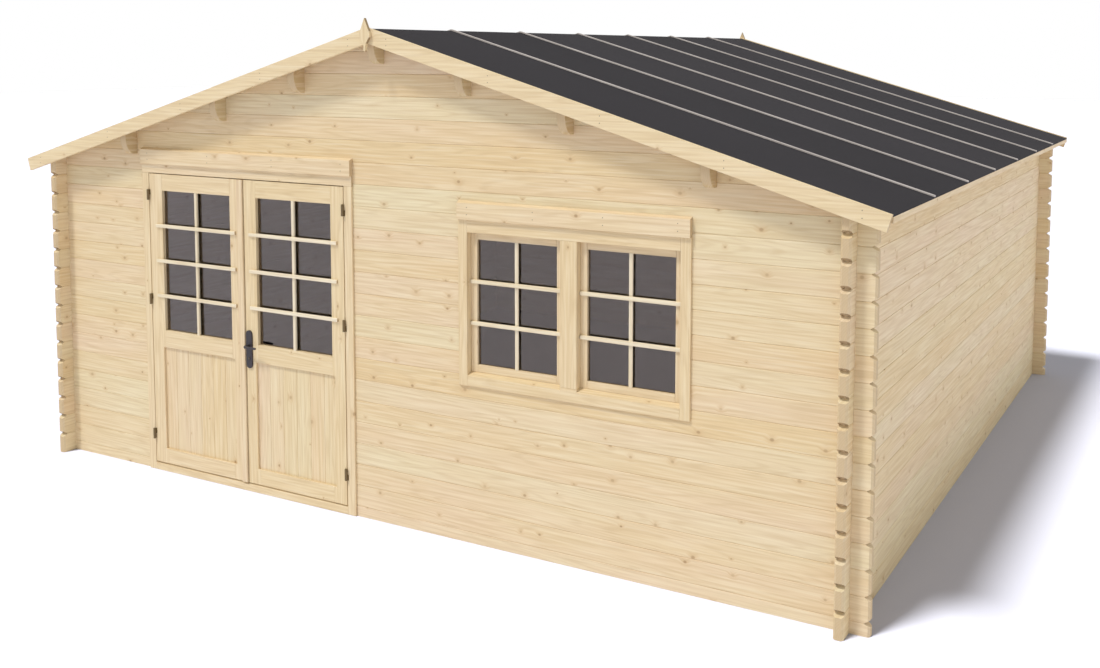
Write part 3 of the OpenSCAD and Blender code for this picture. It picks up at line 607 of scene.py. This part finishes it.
def mineral_felt():
    """Bitumen felt faced with crushed slate: dark, dead matt, with paler grains and a
    slightly different tone from strip to strip."""
    roof = bpy.context.scene.cabin_roof
    cloud_size = 500 * MM
    low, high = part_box("felt_right")
    material, tree = blank("bitumen_felt_slate_faced")
    coord = add(tree, "ShaderNodeTexCoord").outputs["Object"]
    split = add(tree, "ShaderNodeSeparateXYZ", [coord]).outputs
    strip = add(tree, RANGE, (split[1], low.y, high.y, 0.0, float(roof.strips)), clamp=False)
    strip = add(tree, MATH, [strip], operation="FLOOR")
    lot = add(tree, "ShaderNodeTexWhiteNoise", {"W": strip}, noise_dimensions="1D")
    inputs = {"Vector": coord, "Scale": 1 / roof.grit, "Detail": 3.0, "Roughness": 0.7}
    grit = add(tree, NOISE, inputs)
    cloud = add(tree, NOISE, {"Vector": coord, "Scale": 1 / cloud_size, "Detail": 3.0})
    sparkle = add(tree, RANGE, (grit, 0.42, 0.75, 0.0, 0.7))
    drift = add(tree, MATH, (lot.outputs["Value"], cloud), operation="ADD")
    drift = add(tree, RANGE, (drift, 0.4, 1.6, 0.82, 1.12))
    tones = {0: sparkle, 6: rgba(roof.felt), 7: rgba(roof.felt_grit)}
    tone = add(tree, MIX, tones, data_type="RGBA").outputs[2]
    tone = add(tree, "ShaderNodeVectorMath", {0: tone, "Scale": drift}, operation="SCALE")
    inputs = {"Base Color": tone, "Roughness": 0.95, "Specular IOR Level": 0.15}
    return finish_material(material, inputs, (grit, 0.6, 0.9 * MM))


def sawn_batten(name, turn):
    """Sawn softwood batten, silvered: pale grey-brown with coarse streaks along it."""
    roof = bpy.context.scene.cabin_roof
    streak_l = 300 * MM
    streak_w = 6 * MM
    material, tree = blank(name)
    coord = add(tree, "ShaderNodeTexCoord").outputs["Object"]
    where = add(tree, MAPPING, {"Vector": coord, "Rotation": turn})
    scale = (1 / streak_l, 1 / streak_w, 1 / streak_w)
    grain = add(tree, MAPPING, {"Vector": where, "Scale": scale})
    inputs = {"Vector": grain, "Scale": 1.0, "Detail": 4.0, "Roughness": 0.65}
    streak = add(tree, NOISE, inputs)
    share = add(tree, RANGE, (streak, 0.35, 0.7))
    tones = {0: share, 6: rgba(roof.batten), 7: rgba(roof.batten_dark)}
    tone = add(tree, MIX, tones, data_type="RGBA").outputs[2]
    inputs = {"Base Color": tone, "Roughness": 0.85, "Specular IOR Level": 0.2}
    return finish_material(material, inputs, (streak, 0.4, 0.8 * MM))


def float_glass():
    """Float glass with a faint warm cast: clear, so that the dark room behind it shows, under
    the reflection of the pale surroundings, with a faint waviness."""
    joinery = bpy.context.scene.cabin_joinery
    wave_size = 250 * MM
    smear_size = 90 * MM
    material, tree = blank("float_glass_warm_cast")
    coord = add(tree, "ShaderNodeTexCoord").outputs["Object"]
    wave = add(tree, NOISE, {"Vector": coord, "Scale": 1 / wave_size, "Detail": 1.0})
    smear = add(tree, NOISE, {"Vector": coord, "Scale": 1 / smear_size, "Detail": 4.0})
    rough = add(tree, RANGE, (smear, 0.0, 1.0, 0.01, 0.05))
    inputs = {
        "Base Color": rgba(joinery.glass), "Roughness": rough, "IOR": PANE_IOR,
        "Transmission Weight": 1.0, "Specular Tint": rgba(joinery.glass_sheen),
    }
    return finish_material(material, inputs, (wave, 0.05, 1.0 * MM))


def coated_steel(name, coat):
    """Steel with a satin powder coat: the coat's own dark tone, a little paler where it is
    rubbed, with a soft sheen and the fine orange peel of the coating."""
    peel_size = 1.5 * MM
    rub_size = 30 * MM
    material, tree = blank(name)
    coord = add(tree, "ShaderNodeTexCoord").outputs["Object"]
    peel = add(tree, NOISE, {"Vector": coord, "Scale": 1 / peel_size, "Detail": 2.0})
    rub = add(tree, NOISE, {"Vector": coord, "Scale": 1 / rub_size, "Detail": 3.0})
    rough = add(tree, RANGE, (rub, 0.0, 1.0, 0.38, 0.58))
    tones = {0: rub, 6: rgba(coat), 7: rgba([RUBBED * c for c in coat])}
    tone = add(tree, MIX, tones, data_type="RGBA").outputs[2]
    return finish_material(
        material, {"Base Color": tone, "Roughness": rough}, (peel, 0.12, 0.2 * MM)
    )


def plated_metal(name, tone):
    """Dull bare metal, galvanised steel or brass: a soft sheen with a mottled bloom."""
    bloom_size = 3 * MM
    material, tree = blank(name)
    coord = add(tree, "ShaderNodeTexCoord").outputs["Object"]
    bloom = add(tree, NOISE, {"Vector": coord, "Scale": 1 / bloom_size, "Detail": 2.0})
    rough = add(tree, RANGE, (bloom, 0.0, 1.0, 0.4, 0.65))
    inputs = {"Base Color": rgba(tone), "Roughness": rough, "Metallic": 0.6}
    return finish_material(material, inputs)


# Operators


class CABIN_OT_log_walls(Operator):
    """Dress the log walls and the gables in planed spruce"""

    bl_idname = "cabin.log_walls"
    bl_label = "Log walls"

    def execute(self, context):
        course = context.scene.cabin_spruce.course
        ends = log_spruce("spruce_planed_end_walls", ALONG_X, (2, course, course / 2))
        sides = log_spruce("spruce_planed_side_walls", ALONG_Y, (2, course, 0.0))
        for node in (
            "front_logs_left", "front_logs_low", "front_logs_middle", "front_logs_right",
            "front_logs_high", "front_gable_logs", "back_wall_logs", "back_gable_logs",
        ):
            dress(node, ends)
        for node in ("left_wall_logs", "right_wall_logs"):
            dress(node, sides)
        return {"FINISHED"}


def solids_of(node, axis, apart):
    """Boxes of a node's solids, which lie further apart than the given gap along an axis."""
    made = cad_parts[node]
    points = sorted((made.matrix_world @ v.co for v in made.data.vertices), key=lambda p: p[axis])
    groups = [[points[0]]]
    for before, point in zip(points, points[1:]):
        if point[axis] - before[axis] > apart:
            groups.append([])
        groups[-1].append(point)
    return [
        (Vector([min(v) for v in zip(*group)]), Vector([max(v) for v in zip(*group)]))
        for group in groups
    ]


def purlin_ring(low, high, y, rise, corner, slope):
    """Section of a purlin at y: its underside raised by rise, its lower edges rounded, its
    top planed to the slopes of the roof."""
    ring = []
    for x, start in ((low.x + corner, math.pi), (high.x - corner, 1.5 * math.pi)):
        for k in range(CORNER_STEPS + 1):
            a = start + math.pi / 2 * k / CORNER_STEPS
            ring.append((x + corner * math.cos(a), y, low.z + rise + corner * (1 + math.sin(a))))
    at_ridge = low.x < 0.0 < high.x
    near = 0.0 if at_ridge else min(abs(low.x), abs(high.x))
    for x in (high.x, 0.0, low.x) if at_ridge else (high.x, low.x):
        ring.append((x, y, high.z - slope * (abs(x) - near)))
    return ring


class CABIN_OT_purlins(Operator):
    """Shape the purlins, whose ends outside the walls curve back below"""

    bl_idname = "cabin.purlins"
    bl_label = "Purlins"

    def execute(self, context):
        roof = context.scene.cabin_roof
        wood = context.scene.cabin_spruce
        slope = math.tan(roof.pitch)
        # The purlins' darker colours are painted shade for their sides under the eaves
        beam = spruce(
            "spruce_planed_purlins", ALONG_Y, wood.beam_shaded_pale, wood.beam_shaded_warm, wood.beam_shaded_pale,
            (1, PURLIN_SPAN, PURLIN_SPAN / 2), shade_noses=False,
        )
        turns = [math.pi / 2 * k / CURVE_STEPS for k in range(CURVE_STEPS + 1)]
        curve = [(roof.end_l * (1 - math.cos(a)), roof.end_h * (1 - math.sin(a))) for a in turns]
        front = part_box("front_gable_logs")[0].y
        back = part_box("back_gable_logs")[1].y
        for node in ("ridge_purlin", "left_purlins", "right_purlins"):
            bm = bmesh.new()
            for low, high in solids_of(node, 0, PURLIN_GAP):
                stations = [(low.y + run, rise, wood.edge) for run, rise in curve]
                stations += [(front, 0.0, wood.edge), (front + MM, 0.0, roof.seat_r)]
                stations += [(back - MM, 0.0, roof.seat_r), (back, 0.0, wood.edge)]
                stations += [(high.y - run, rise, wood.edge) for run, rise in reversed(curve)]
                loft(bm, [purlin_ring(low, high, *station, slope) for station in stations])
            shaped = piece(f"{node}_shaped", bm, beam, "cabin", smooth=True)
            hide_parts(node)
        return {"FINISHED"}


class CABIN_OT_roof_boards(Operator):
    """Lay the roof boards, with a V groove between them on the room side"""

    bl_idname = "cabin.roof_boards"
    bl_label = "Roof boards"

    def execute(self, context):
        roof = context.scene.cabin_roof
        slope = math.tan(roof.pitch)
        groove = roof.groove
        for side, name in SLOPES:
            node = f"roof_deck_{name}"
            low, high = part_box(node)
            near, far = min(abs(low.x), abs(high.x)), max(abs(low.x), abs(high.x))
            under = low.z + far * slope
            thick = high.z - under + near * slope
            width = (high.y - low.y) / roof.boards
            bm = bmesh.new()
            for i in range(roof.boards):
                y0 = low.y + i * width + BOARD_PLAY
                y1 = low.y + (i + 1) * width - BOARD_PLAY
                outline = [
                    (y0 + groove, 0.0), (y1 - groove, 0.0), (y1, groove),
                    (y1, thick), (y0, thick), (y0, groove),
                ]
                prism(
                    bm, outline, near, far,
                    lambda u, v, w: (side * w, u, under + v - slope * w),
                )
            turn = (0.0, -side * roof.pitch, 0.0)
            wood = log_spruce(f"spruce_planed_roof_boards_{name}", turn, (1, width, -low.y))
            boards = piece(f"roof_boards_{name}", bm, wood, "cabin")
            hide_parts(node)
        return {"FINISHED"}


class CABIN_OT_roof_cover(Operator):
    """Dress the felt and its battens"""

    bl_idname = "cabin.roof_cover"
    bl_label = "Felt and battens"

    def execute(self, context):
        pitch = context.scene.cabin_roof.pitch
        felt = mineral_felt()
        for side, name in SLOPES:
            batten = sawn_batten(f"softwood_sawn_batten_{name}", (0.0, -side * pitch, 0.0))
            dress(f"felt_{name}", felt)
            dress(f"battens_{name}", batten)
            ease_edges(f"battens_{name}", context.scene.cabin_spruce.edge)
        return {"FINISHED"}


class CABIN_OT_trim(Operator):
    """Dress the trim boards of the roof, the door and the window, with eased edges"""

    bl_idname = "cabin.trim"
    bl_label = "Trim boards"

    def execute(self, context):
        level = (
            "front_bargeboards", "back_bargeboards", "door_head", "door_threshold",
            "door_drip_board", "window_drip_board",
        )
        eaves = ("eave_board_left", "eave_board_right")
        upright = ("finial_front", "finial_back", "door_jambs", "door_stops", "meeting_strip")
        for name, turn, nodes in (
            ("level", ALONG_X, level), ("eaves", ALONG_Y, eaves), ("upright", ALONG_Z, upright),
        ):
            board = trim_spruce(f"spruce_planed_trim_{name}", turn)
            for node in nodes:
                dress(node, board)
                ease_edges(node, context.scene.cabin_spruce.edge)
        return {"FINISHED"}


class CABIN_OT_leaf_frames(Operator):
    """Dress the door leaves and the window joinery, with upright grain in the stiles"""

    bl_idname = "cabin.leaf_frames"
    bl_label = "Leaf and window frames"

    def execute(self, context):
        stiles = {}
        for side in LEAVES:
            low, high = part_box(f"{side}_leaf_frame")
            inner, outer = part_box(f"{side}_leaf_glass")
            stiles[f"{side}_leaf_frame"] = (f"{side}_leaf", (
                (low.x - MM, inner.x + PANE_HOLD, low.z - MM, high.z + MM),
                (outer.x - PANE_HOLD, high.x + MM, low.z - MM, high.z + MM),
            ))
        low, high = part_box("window_frame")
        sash_low, sash_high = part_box("window_sashes")
        middle = (low.x + high.x) / 2
        left, right = low.x + FRAME_FACE, high.x - FRAME_FACE
        post_left, post_right = middle - POST_HALF, middle + POST_HALF
        stiles["window_frame"] = ("window_frame", (
            (low.x - MM, left, low.z - MM, high.z + MM),
            (post_left, post_right, sash_low.z, sash_high.z),
            (right, high.x + MM, low.z - MM, high.z + MM),
        ))
        stiles["window_sashes"] = ("sashes", [
            (x, x + SASH_STILE, low.z, high.z)
            for x in (left, post_left - SASH_STILE, post_right, right - SASH_STILE)
        ])
        for node, (name, posts) in stiles.items():
            dress(node, trim_spruce(f"spruce_planed_{name}", ALONG_X, posts))
            ease_edges(node, context.scene.cabin_spruce.edge)
        return {"FINISHED"}


class CABIN_OT_panel_boards(Operator):
    """Board the lower panels of the door leaves, tongued and grooved"""

    bl_idname = "cabin.panel_boards"
    bl_label = "Door panel boards"

    def execute(self, context):
        joinery = context.scene.cabin_joinery
        groove = joinery.panel_groove
        for side in LEAVES:
            low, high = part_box(f"{side}_leaf_panel")
            width = (high.x - low.x) / joinery.panel_boards
            bm = bmesh.new()
            for i in range(joinery.panel_boards):
                x0 = low.x + i * width + BOARD_PLAY
                x1 = low.x + (i + 1) * width - BOARD_PLAY
                outline = [
                    (x0 + groove, low.y), (x1 - groove, low.y), (x1, low.y + groove),
                    (x1, high.y - groove), (x1 - groove, high.y), (x0 + groove, high.y),
                    (x0, high.y - groove), (x0, low.y + groove),
                ]
                prism(bm, outline, low.z, high.z, stand)
            wood = log_spruce(f"spruce_planed_{side}_panel", ALONG_Z, (2, width, high.x))
            boards = piece(f"{side}_leaf_boards", bm, wood, f"{side}_leaf")
            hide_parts(f"{side}_leaf_panel")
        return {"FINISHED"}


def bar(bm, middle, low, high, back, depth, place):
    """A glazing bar from low to high along its middle line, with chamfered outer edges."""
    joinery = bpy.context.scene.cabin_joinery
    half = joinery.bar_w / 2
    ease = joinery.bar_ease
    face = back - depth
    outline = [
        (middle - half, back), (middle + half, back), (middle + half, face + ease),
        (middle + half - ease, face), (middle - half + ease, face), (middle - half, face + ease),
    ]
    prism(bm, outline, low, high, place)


def bar_grid(name, light, rows, front, pane, lap, body, woods):
    """Level bars on the frame's face and an upright one behind them, clear of the pane;
    light is x0, x1, z0, z1."""
    joinery = bpy.context.scene.cabin_joinery
    x0, x1, z0, z1 = light
    bm = bmesh.new()
    for k in range(1, rows):
        z = z0 + (z1 - z0) * k / rows
        bar(bm, z, x0 - lap, x1 + lap, front - BOARD_PLAY, joinery.bar_d, lie)
    piece(f"{name}_level_bars", bm, woods[0], body)
    bm = bmesh.new()
    back = pane - joinery.stand
    bar(bm, (x0 + x1) / 2, z0 + BOARD_PLAY, z1 - BOARD_PLAY, back, back - front, stand)
    piece(f"{name}_upright_bars", bm, woods[1], body)


class CABIN_OT_glazing_bars(Operator):
    """Set the glazing bars in front of the door and window lights"""

    bl_idname = "cabin.glazing_bars"
    bl_label = "Glazing bars"

    def execute(self, context):
        joinery = context.scene.cabin_joinery
        wood = context.scene.cabin_spruce
        woods = [
            spruce(
                f"spruce_planed_bars_{name}", turn, wood.bar_pale, wood.bar_warm, wood.bar_pale,
                knot_share=0.0,
            )
            for name, turn in (("level", ALONG_X), ("upright", ALONG_Z))
        ]
        for side in LEAVES:
            leaf = f"{side}_leaf"
            low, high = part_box(f"{leaf}_glass")
            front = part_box(f"{leaf}_frame")[0].y
            light = (
                low.x + PANE_HOLD, high.x - PANE_HOLD, low.z + PANE_HOLD, high.z - PANE_HOLD,
            )
            bar_grid(leaf, light, joinery.door_rows, front, low.y, joinery.door_lap, leaf, woods)
        low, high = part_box("window_frame")
        sash_low, sash_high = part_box("window_sashes")
        glass_low, glass_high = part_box("window_glass")
        middle = (low.x + high.x) / 2
        inner = POST_HALF + SASH_STILE
        for name, x0, x1 in (
            ("left_sash", sash_low.x + SASH_STILE, middle - inner),
            ("right_sash", middle + inner, sash_high.x - SASH_STILE),
        ):
            light = (x0, x1, glass_low.z + PANE_HOLD, glass_high.z - PANE_HOLD)
            bar_grid(
                name, light, joinery.window_rows, sash_low.y, glass_low.y, joinery.window_lap,
                "cabin", woods,
            )
        return {"FINISHED"}


def bead_ring(bm, x0, x1, z0, z1, front, back):
    """Four glazing beads round a pane, in its rebate from front to back, with sloped faces."""
    width = bpy.context.scene.cabin_joinery.bead_w
    inner = width * BEAD_SLOPE
    x0, x1, z0, z1 = x0 + BEAD_PLAY, x1 - BEAD_PLAY, z0 + BEAD_PLAY, z1 - BEAD_PLAY
    clear = width + BEAD_PLAY
    for edges, low, high, place in (
        ((x0, x1), z0, z1, stand), ((z0, z1), x0 + clear, x1 - clear, lie),
    ):
        for edge, way in zip(edges, (1, -1)):
            outline = [
                (edge, front), (edge + way * width, front),
                (edge + way * inner, back), (edge, back),
            ]
            prism(bm, outline, low, high, place)


class CABIN_OT_beads(Operator):
    """Set the glazing beads behind the panes, on the room side"""

    bl_idname = "cabin.beads"
    bl_label = "Glazing beads"

    def execute(self, context):
        wood = trim_spruce("spruce_planed_beads", ALONG_X)
        for side in LEAVES:
            low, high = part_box(f"{side}_leaf_glass")
            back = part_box(f"{side}_leaf_frame")[1].y
            bm = bmesh.new()
            bead_ring(bm, low.x, high.x, low.z, high.z, high.y + BEAD_PLAY, back)
            piece(f"{side}_leaf_beads", bm, wood, f"{side}_leaf")
        low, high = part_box("window_glass")
        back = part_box("window_sashes")[1].y
        middle = (low.x + high.x) / 2
        gap = POST_HALF + SASH_STILE - PANE_HOLD
        bm = bmesh.new()
        for x0, x1 in ((low.x, middle - gap), (middle + gap, high.x)):
            bead_ring(bm, x0, x1, low.z, high.z, high.y + BEAD_PLAY, back)
        piece("sash_beads", bm, wood, "cabin")
        return {"FINISHED"}


class CABIN_OT_glass(Operator):
    """Dress the panes of the door and the window"""

    bl_idname = "cabin.glass"
    bl_label = "Glass"

    def execute(self, context):
        glass = float_glass()
        for node in ("left_leaf_glass", "right_leaf_glass", "window_glass"):
            dress(node, glass)
        return {"FINISHED"}


class CABIN_OT_ironwork(Operator):
    """Dress the hinges, the plates and the lever handles, and set the lock barrels"""

    bl_idname = "cabin.ironwork"
    bl_label = "Ironwork"

    def execute(self, context):
        joinery = context.scene.cabin_joinery
        iron = coated_steel("steel_black_satin_coated", joinery.iron)
        for node in ("handle_plates", "lever_handle"):
            dress(node, iron)
        bronze = coated_steel("steel_bronze_satin_coated", joinery.bronze)
        for node in ("hinge_pins", "left_hinge_barrels", "right_hinge_barrels"):
            dress(node, bronze)

        # The lock barrel under each lever, with its keyway
        low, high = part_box("handle_plates")
        x = (low.x + high.x) / 2
        z = (low.z + high.z) / 2 + SPINDLE_RISE - joinery.key_drop
        turns = [2 * math.pi * (k + 0.5) / BARREL_SIDES for k in range(BARREL_SIDES)]
        outline = [(x + joinery.key_r * math.cos(a), z + joinery.key_r * math.sin(a)) for a in turns]
        slot = [
            (x + i * KEY_HALF_W, z + j * KEY_HALF_H) for i, j in ((-1, -1), (1, -1), (1, 1), (-1, 1))
        ]
        barrel = bmesh.new()
        keyway = bmesh.new()
        for face, out in ((low.y, -1), (high.y, 1)):
            end = face + out * BARREL_RISE
            prism(barrel, outline, face, end, stick_out)
            prism(keyway, slot, end, end + out * KEY_RISE, stick_out)
        piece("lock_barrels", barrel, iron, "right_leaf")
        piece("lock_keyways", keyway, plated_metal("brass_dull", joinery.brass), "right_leaf")
        return {"FINISHED"}


class CABIN_OT_nails(Operator):
    """Drive the nails in the battens, the bargeboards and the weather boards"""

    bl_idname = "cabin.nails"
    bl_label = "Nails"

    def execute(self, context):
        joinery = context.scene.cabin_joinery
        roof = context.scene.cabin_roof
        head = (joinery.head_r, joinery.head_h)
        slope = math.tan(roof.pitch)
        zinc = plated_metal("steel_galvanised_dull", joinery.zinc)
        for side, name in SLOPES:
            low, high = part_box(f"battens_{name}")
            reach = max(abs(low.x), abs(high.x))
            rows = roof.strips - 1
            step = (high.y - low.y - 2 * BATTEN_HALF) / (rows - 1)
            out = (side * math.sin(roof.pitch), 0.0, math.cos(roof.pitch))
            bm = bmesh.new()
            for row in range(rows):
                y = low.y + BATTEN_HALF + row * step
                for k in range(BATTEN_NAILS):
                    x = reach * (k + 0.5) / BATTEN_NAILS
                    dome(bm, (side * x, y, high.z - slope * x), out, *head)
            piece(f"batten_nails_{name}", bm, zinc, "cabin")
        bm = bmesh.new()
        for node, out in (("front_bargeboards", -1), ("back_bargeboards", 1)):
            low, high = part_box(node)
            face = low.y if out < 0 else high.y
            for side in (-1, 1):
                for k in range(BARGE_NAILS):
                    x = BARGE_INSET + (high.x - 2 * BARGE_INSET) * k / (BARGE_NAILS - 1)
                    for drop in BARGE_DROPS:
                        z = high.z - slope * x - drop
                        dome(bm, (side * x, face, z), (0.0, out, 0.0), *head)
        for node in ("door_drip_board", "window_drip_board"):
            low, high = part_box(node)
            span = high.x - low.x - 2 * DRIP_INSET
            for k in range(DRIP_NAILS):
                x = low.x + DRIP_INSET + span * k / (DRIP_NAILS - 1)
                for share in DRIP_SHARES:
                    z = low.z + (high.z - low.z) * share
                    dome(bm, (x, low.y, z), (0.0, -1.0, 0.0), *head)
        piece("trim_nails", bm, zinc, "cabin")
        return {"FINISHED"}


def lay_floor(scene, setup):
    """Matt studio floor, which takes the shadow."""
    bm = bmesh.new()
    bmesh.ops.create_grid(bm, x_segments=8, y_segments=8, size=setup.floor_half)
    mesh = bpy.data.meshes.new("studio_floor")
    bm.to_mesh(mesh)
    bm.free()
    floor = bpy.data.objects.new("studio_floor", mesh)
    floor.location.z = -FLOOR_GAP
    scene.collection.objects.link(floor)
    material = blank("painted_studio_floor_matt")[0]
    inputs = {"Base Color": rgba(setup.floor), "Roughness": 0.9, "Specular IOR Level": 0.0}
    mesh.materials.append(finish_material(material, inputs))
    return floor


def light_sky(scene, setup):
    """Even light, with more of it from the right than from the left, in front of plain white."""
    world = bpy.data.worlds.new("studio_white")
    scene.world = world
    world.use_nodes = True
    tree = world.node_tree
    tree.nodes.clear()
    path = add(tree, "ShaderNodeLightPath").outputs
    seen = path["Is Camera Ray"]
    for ray in ("Is Glossy Ray", "Is Transmission Ray"):
        seen = add(tree, MATH, (seen, path[ray]), operation="MAXIMUM")
    way = add(tree, "ShaderNodeTexCoord").outputs["Generated"]
    side = add(tree, "ShaderNodeVectorMath", (way, tuple(setup.fill_way)), operation="DOT_PRODUCT")
    side = side.outputs["Value"]
    even = add(tree, MATH, (side, setup.fill, setup.sky), operation="MULTIPLY_ADD")
    level = add(tree, MIX, {0: seen, 2: even, 3: 1.0}, data_type="FLOAT")
    sky = add(tree, "ShaderNodeBackground", {"Color": rgba((1.0, 1.0, 1.0)), "Strength": level})
    add(tree, "ShaderNodeOutputWorld", {"Surface": sky})


def hang_lamp(scene, name, energy, soft, way, floor, state):
    """Sun lamp whose light goes one way and leaves out the floor or lights nothing else."""
    light = bpy.data.lights.new(name, "SUN")
    light.energy = energy
    light.angle = soft
    lamp = bpy.data.objects.new(name, light)
    scene.collection.objects.link(lamp)
    lamp.rotation_mode = "QUATERNION"
    lamp.rotation_quaternion = Vector(way).to_track_quat("-Z", "Y")
    lit = bpy.data.collections.new(f"{name}_floor")
    lit.objects.link(floor)
    lit.collection_objects[0].light_linking.link_state = state
    lamp.light_linking.receiver_collection = lit


def set_camera(scene, setup):
    """Camera about where the photograph was taken from."""
    shot = bpy.data.cameras.new("studio_camera")
    shot.sensor_width = SENSOR_W
    shot.lens = setup.lens
    shot.shift_y = setup.camera_shift
    shot.clip_end = SIGHT
    camera = bpy.data.objects.new("studio_camera", shot)
    scene.collection.objects.link(camera)
    camera.location = setup.camera_at
    camera.rotation_euler = (math.pi / 2 - setup.camera_pitch, 0.0, setup.camera_yaw)
    scene.camera = camera


class CABIN_OT_stage(Operator):
    """Set the pale floor, the soft light and the camera"""

    bl_idname = "cabin.stage"
    bl_label = "Floor, light and camera"

    def execute(self, context):
        scene = context.scene
        setup = scene.cabin_stage
        scene.view_settings.view_transform = "Standard"
        floor = lay_floor(scene, setup)
        light_sky(scene, setup)

        # The key lamp leaves out the floor, which has a lamp of its own from higher up
        flat = math.cos(setup.sun_height)
        travel = (
            math.sin(setup.sun_turn) * flat, math.cos(setup.sun_turn) * flat,
            -math.sin(setup.sun_height),
        )
        for name, energy, way, state in (
            ("key_lamp", setup.sun, travel, "EXCLUDE"),
            ("floor_lamp", setup.floor_lamp, setup.floor_way, "INCLUDE"),
        ):
            hang_lamp(scene, name, energy, setup.sun_soft, way, floor, state)
        set_camera(scene, setup)
        return {"FINISHED"}


OPERATORS = (
    CABIN_OT_log_walls, CABIN_OT_purlins, CABIN_OT_roof_boards, CABIN_OT_roof_cover, CABIN_OT_trim,
    CABIN_OT_leaf_frames, CABIN_OT_panel_boards, CABIN_OT_glazing_bars, CABIN_OT_beads,
    CABIN_OT_glass, CABIN_OT_ironwork, CABIN_OT_nails, CABIN_OT_stage,
)
GROUPS = {
    "cabin_spruce": CabinSpruce, "cabin_roof": CabinRoof,
    "cabin_joinery": CabinJoinery, "cabin_stage": CabinStage,
}


class CABIN_PT_looks(Panel):
    """Sizes and colours of the cabin, and buttons that dress it, in the sidebar"""

    bl_idname = "CABIN_PT_looks"
    bl_label = "Log cabin"
    bl_space_type = "VIEW_3D"
    bl_region_type = "UI"
    bl_category = "Cabin"

    def draw(self, context):
        for name, group in GROUPS.items():
            for setting in group.__annotations__:
                self.layout.prop(getattr(context.scene, name), setting)
        for operator in OPERATORS:
            self.layout.operator(operator.bl_idname)


CLASSES = (*GROUPS.values(), *OPERATORS, CABIN_PT_looks)


def register():
    for kind in CLASSES:
        bpy.utils.register_class(kind)
    for name, group in GROUPS.items():
        setattr(bpy.types.Scene, name, PointerProperty(type=group))


def unregister():
    for name in GROUPS:
        delattr(bpy.types.Scene, name)
    for kind in reversed(CLASSES):
        bpy.utils.unregister_class(kind)


def main():
    register()
    for operator in OPERATORS:
        group, name = operator.bl_idname.split(".")
        getattr(getattr(bpy.ops, group), name)()


if __name__ == "__main__":
    main()
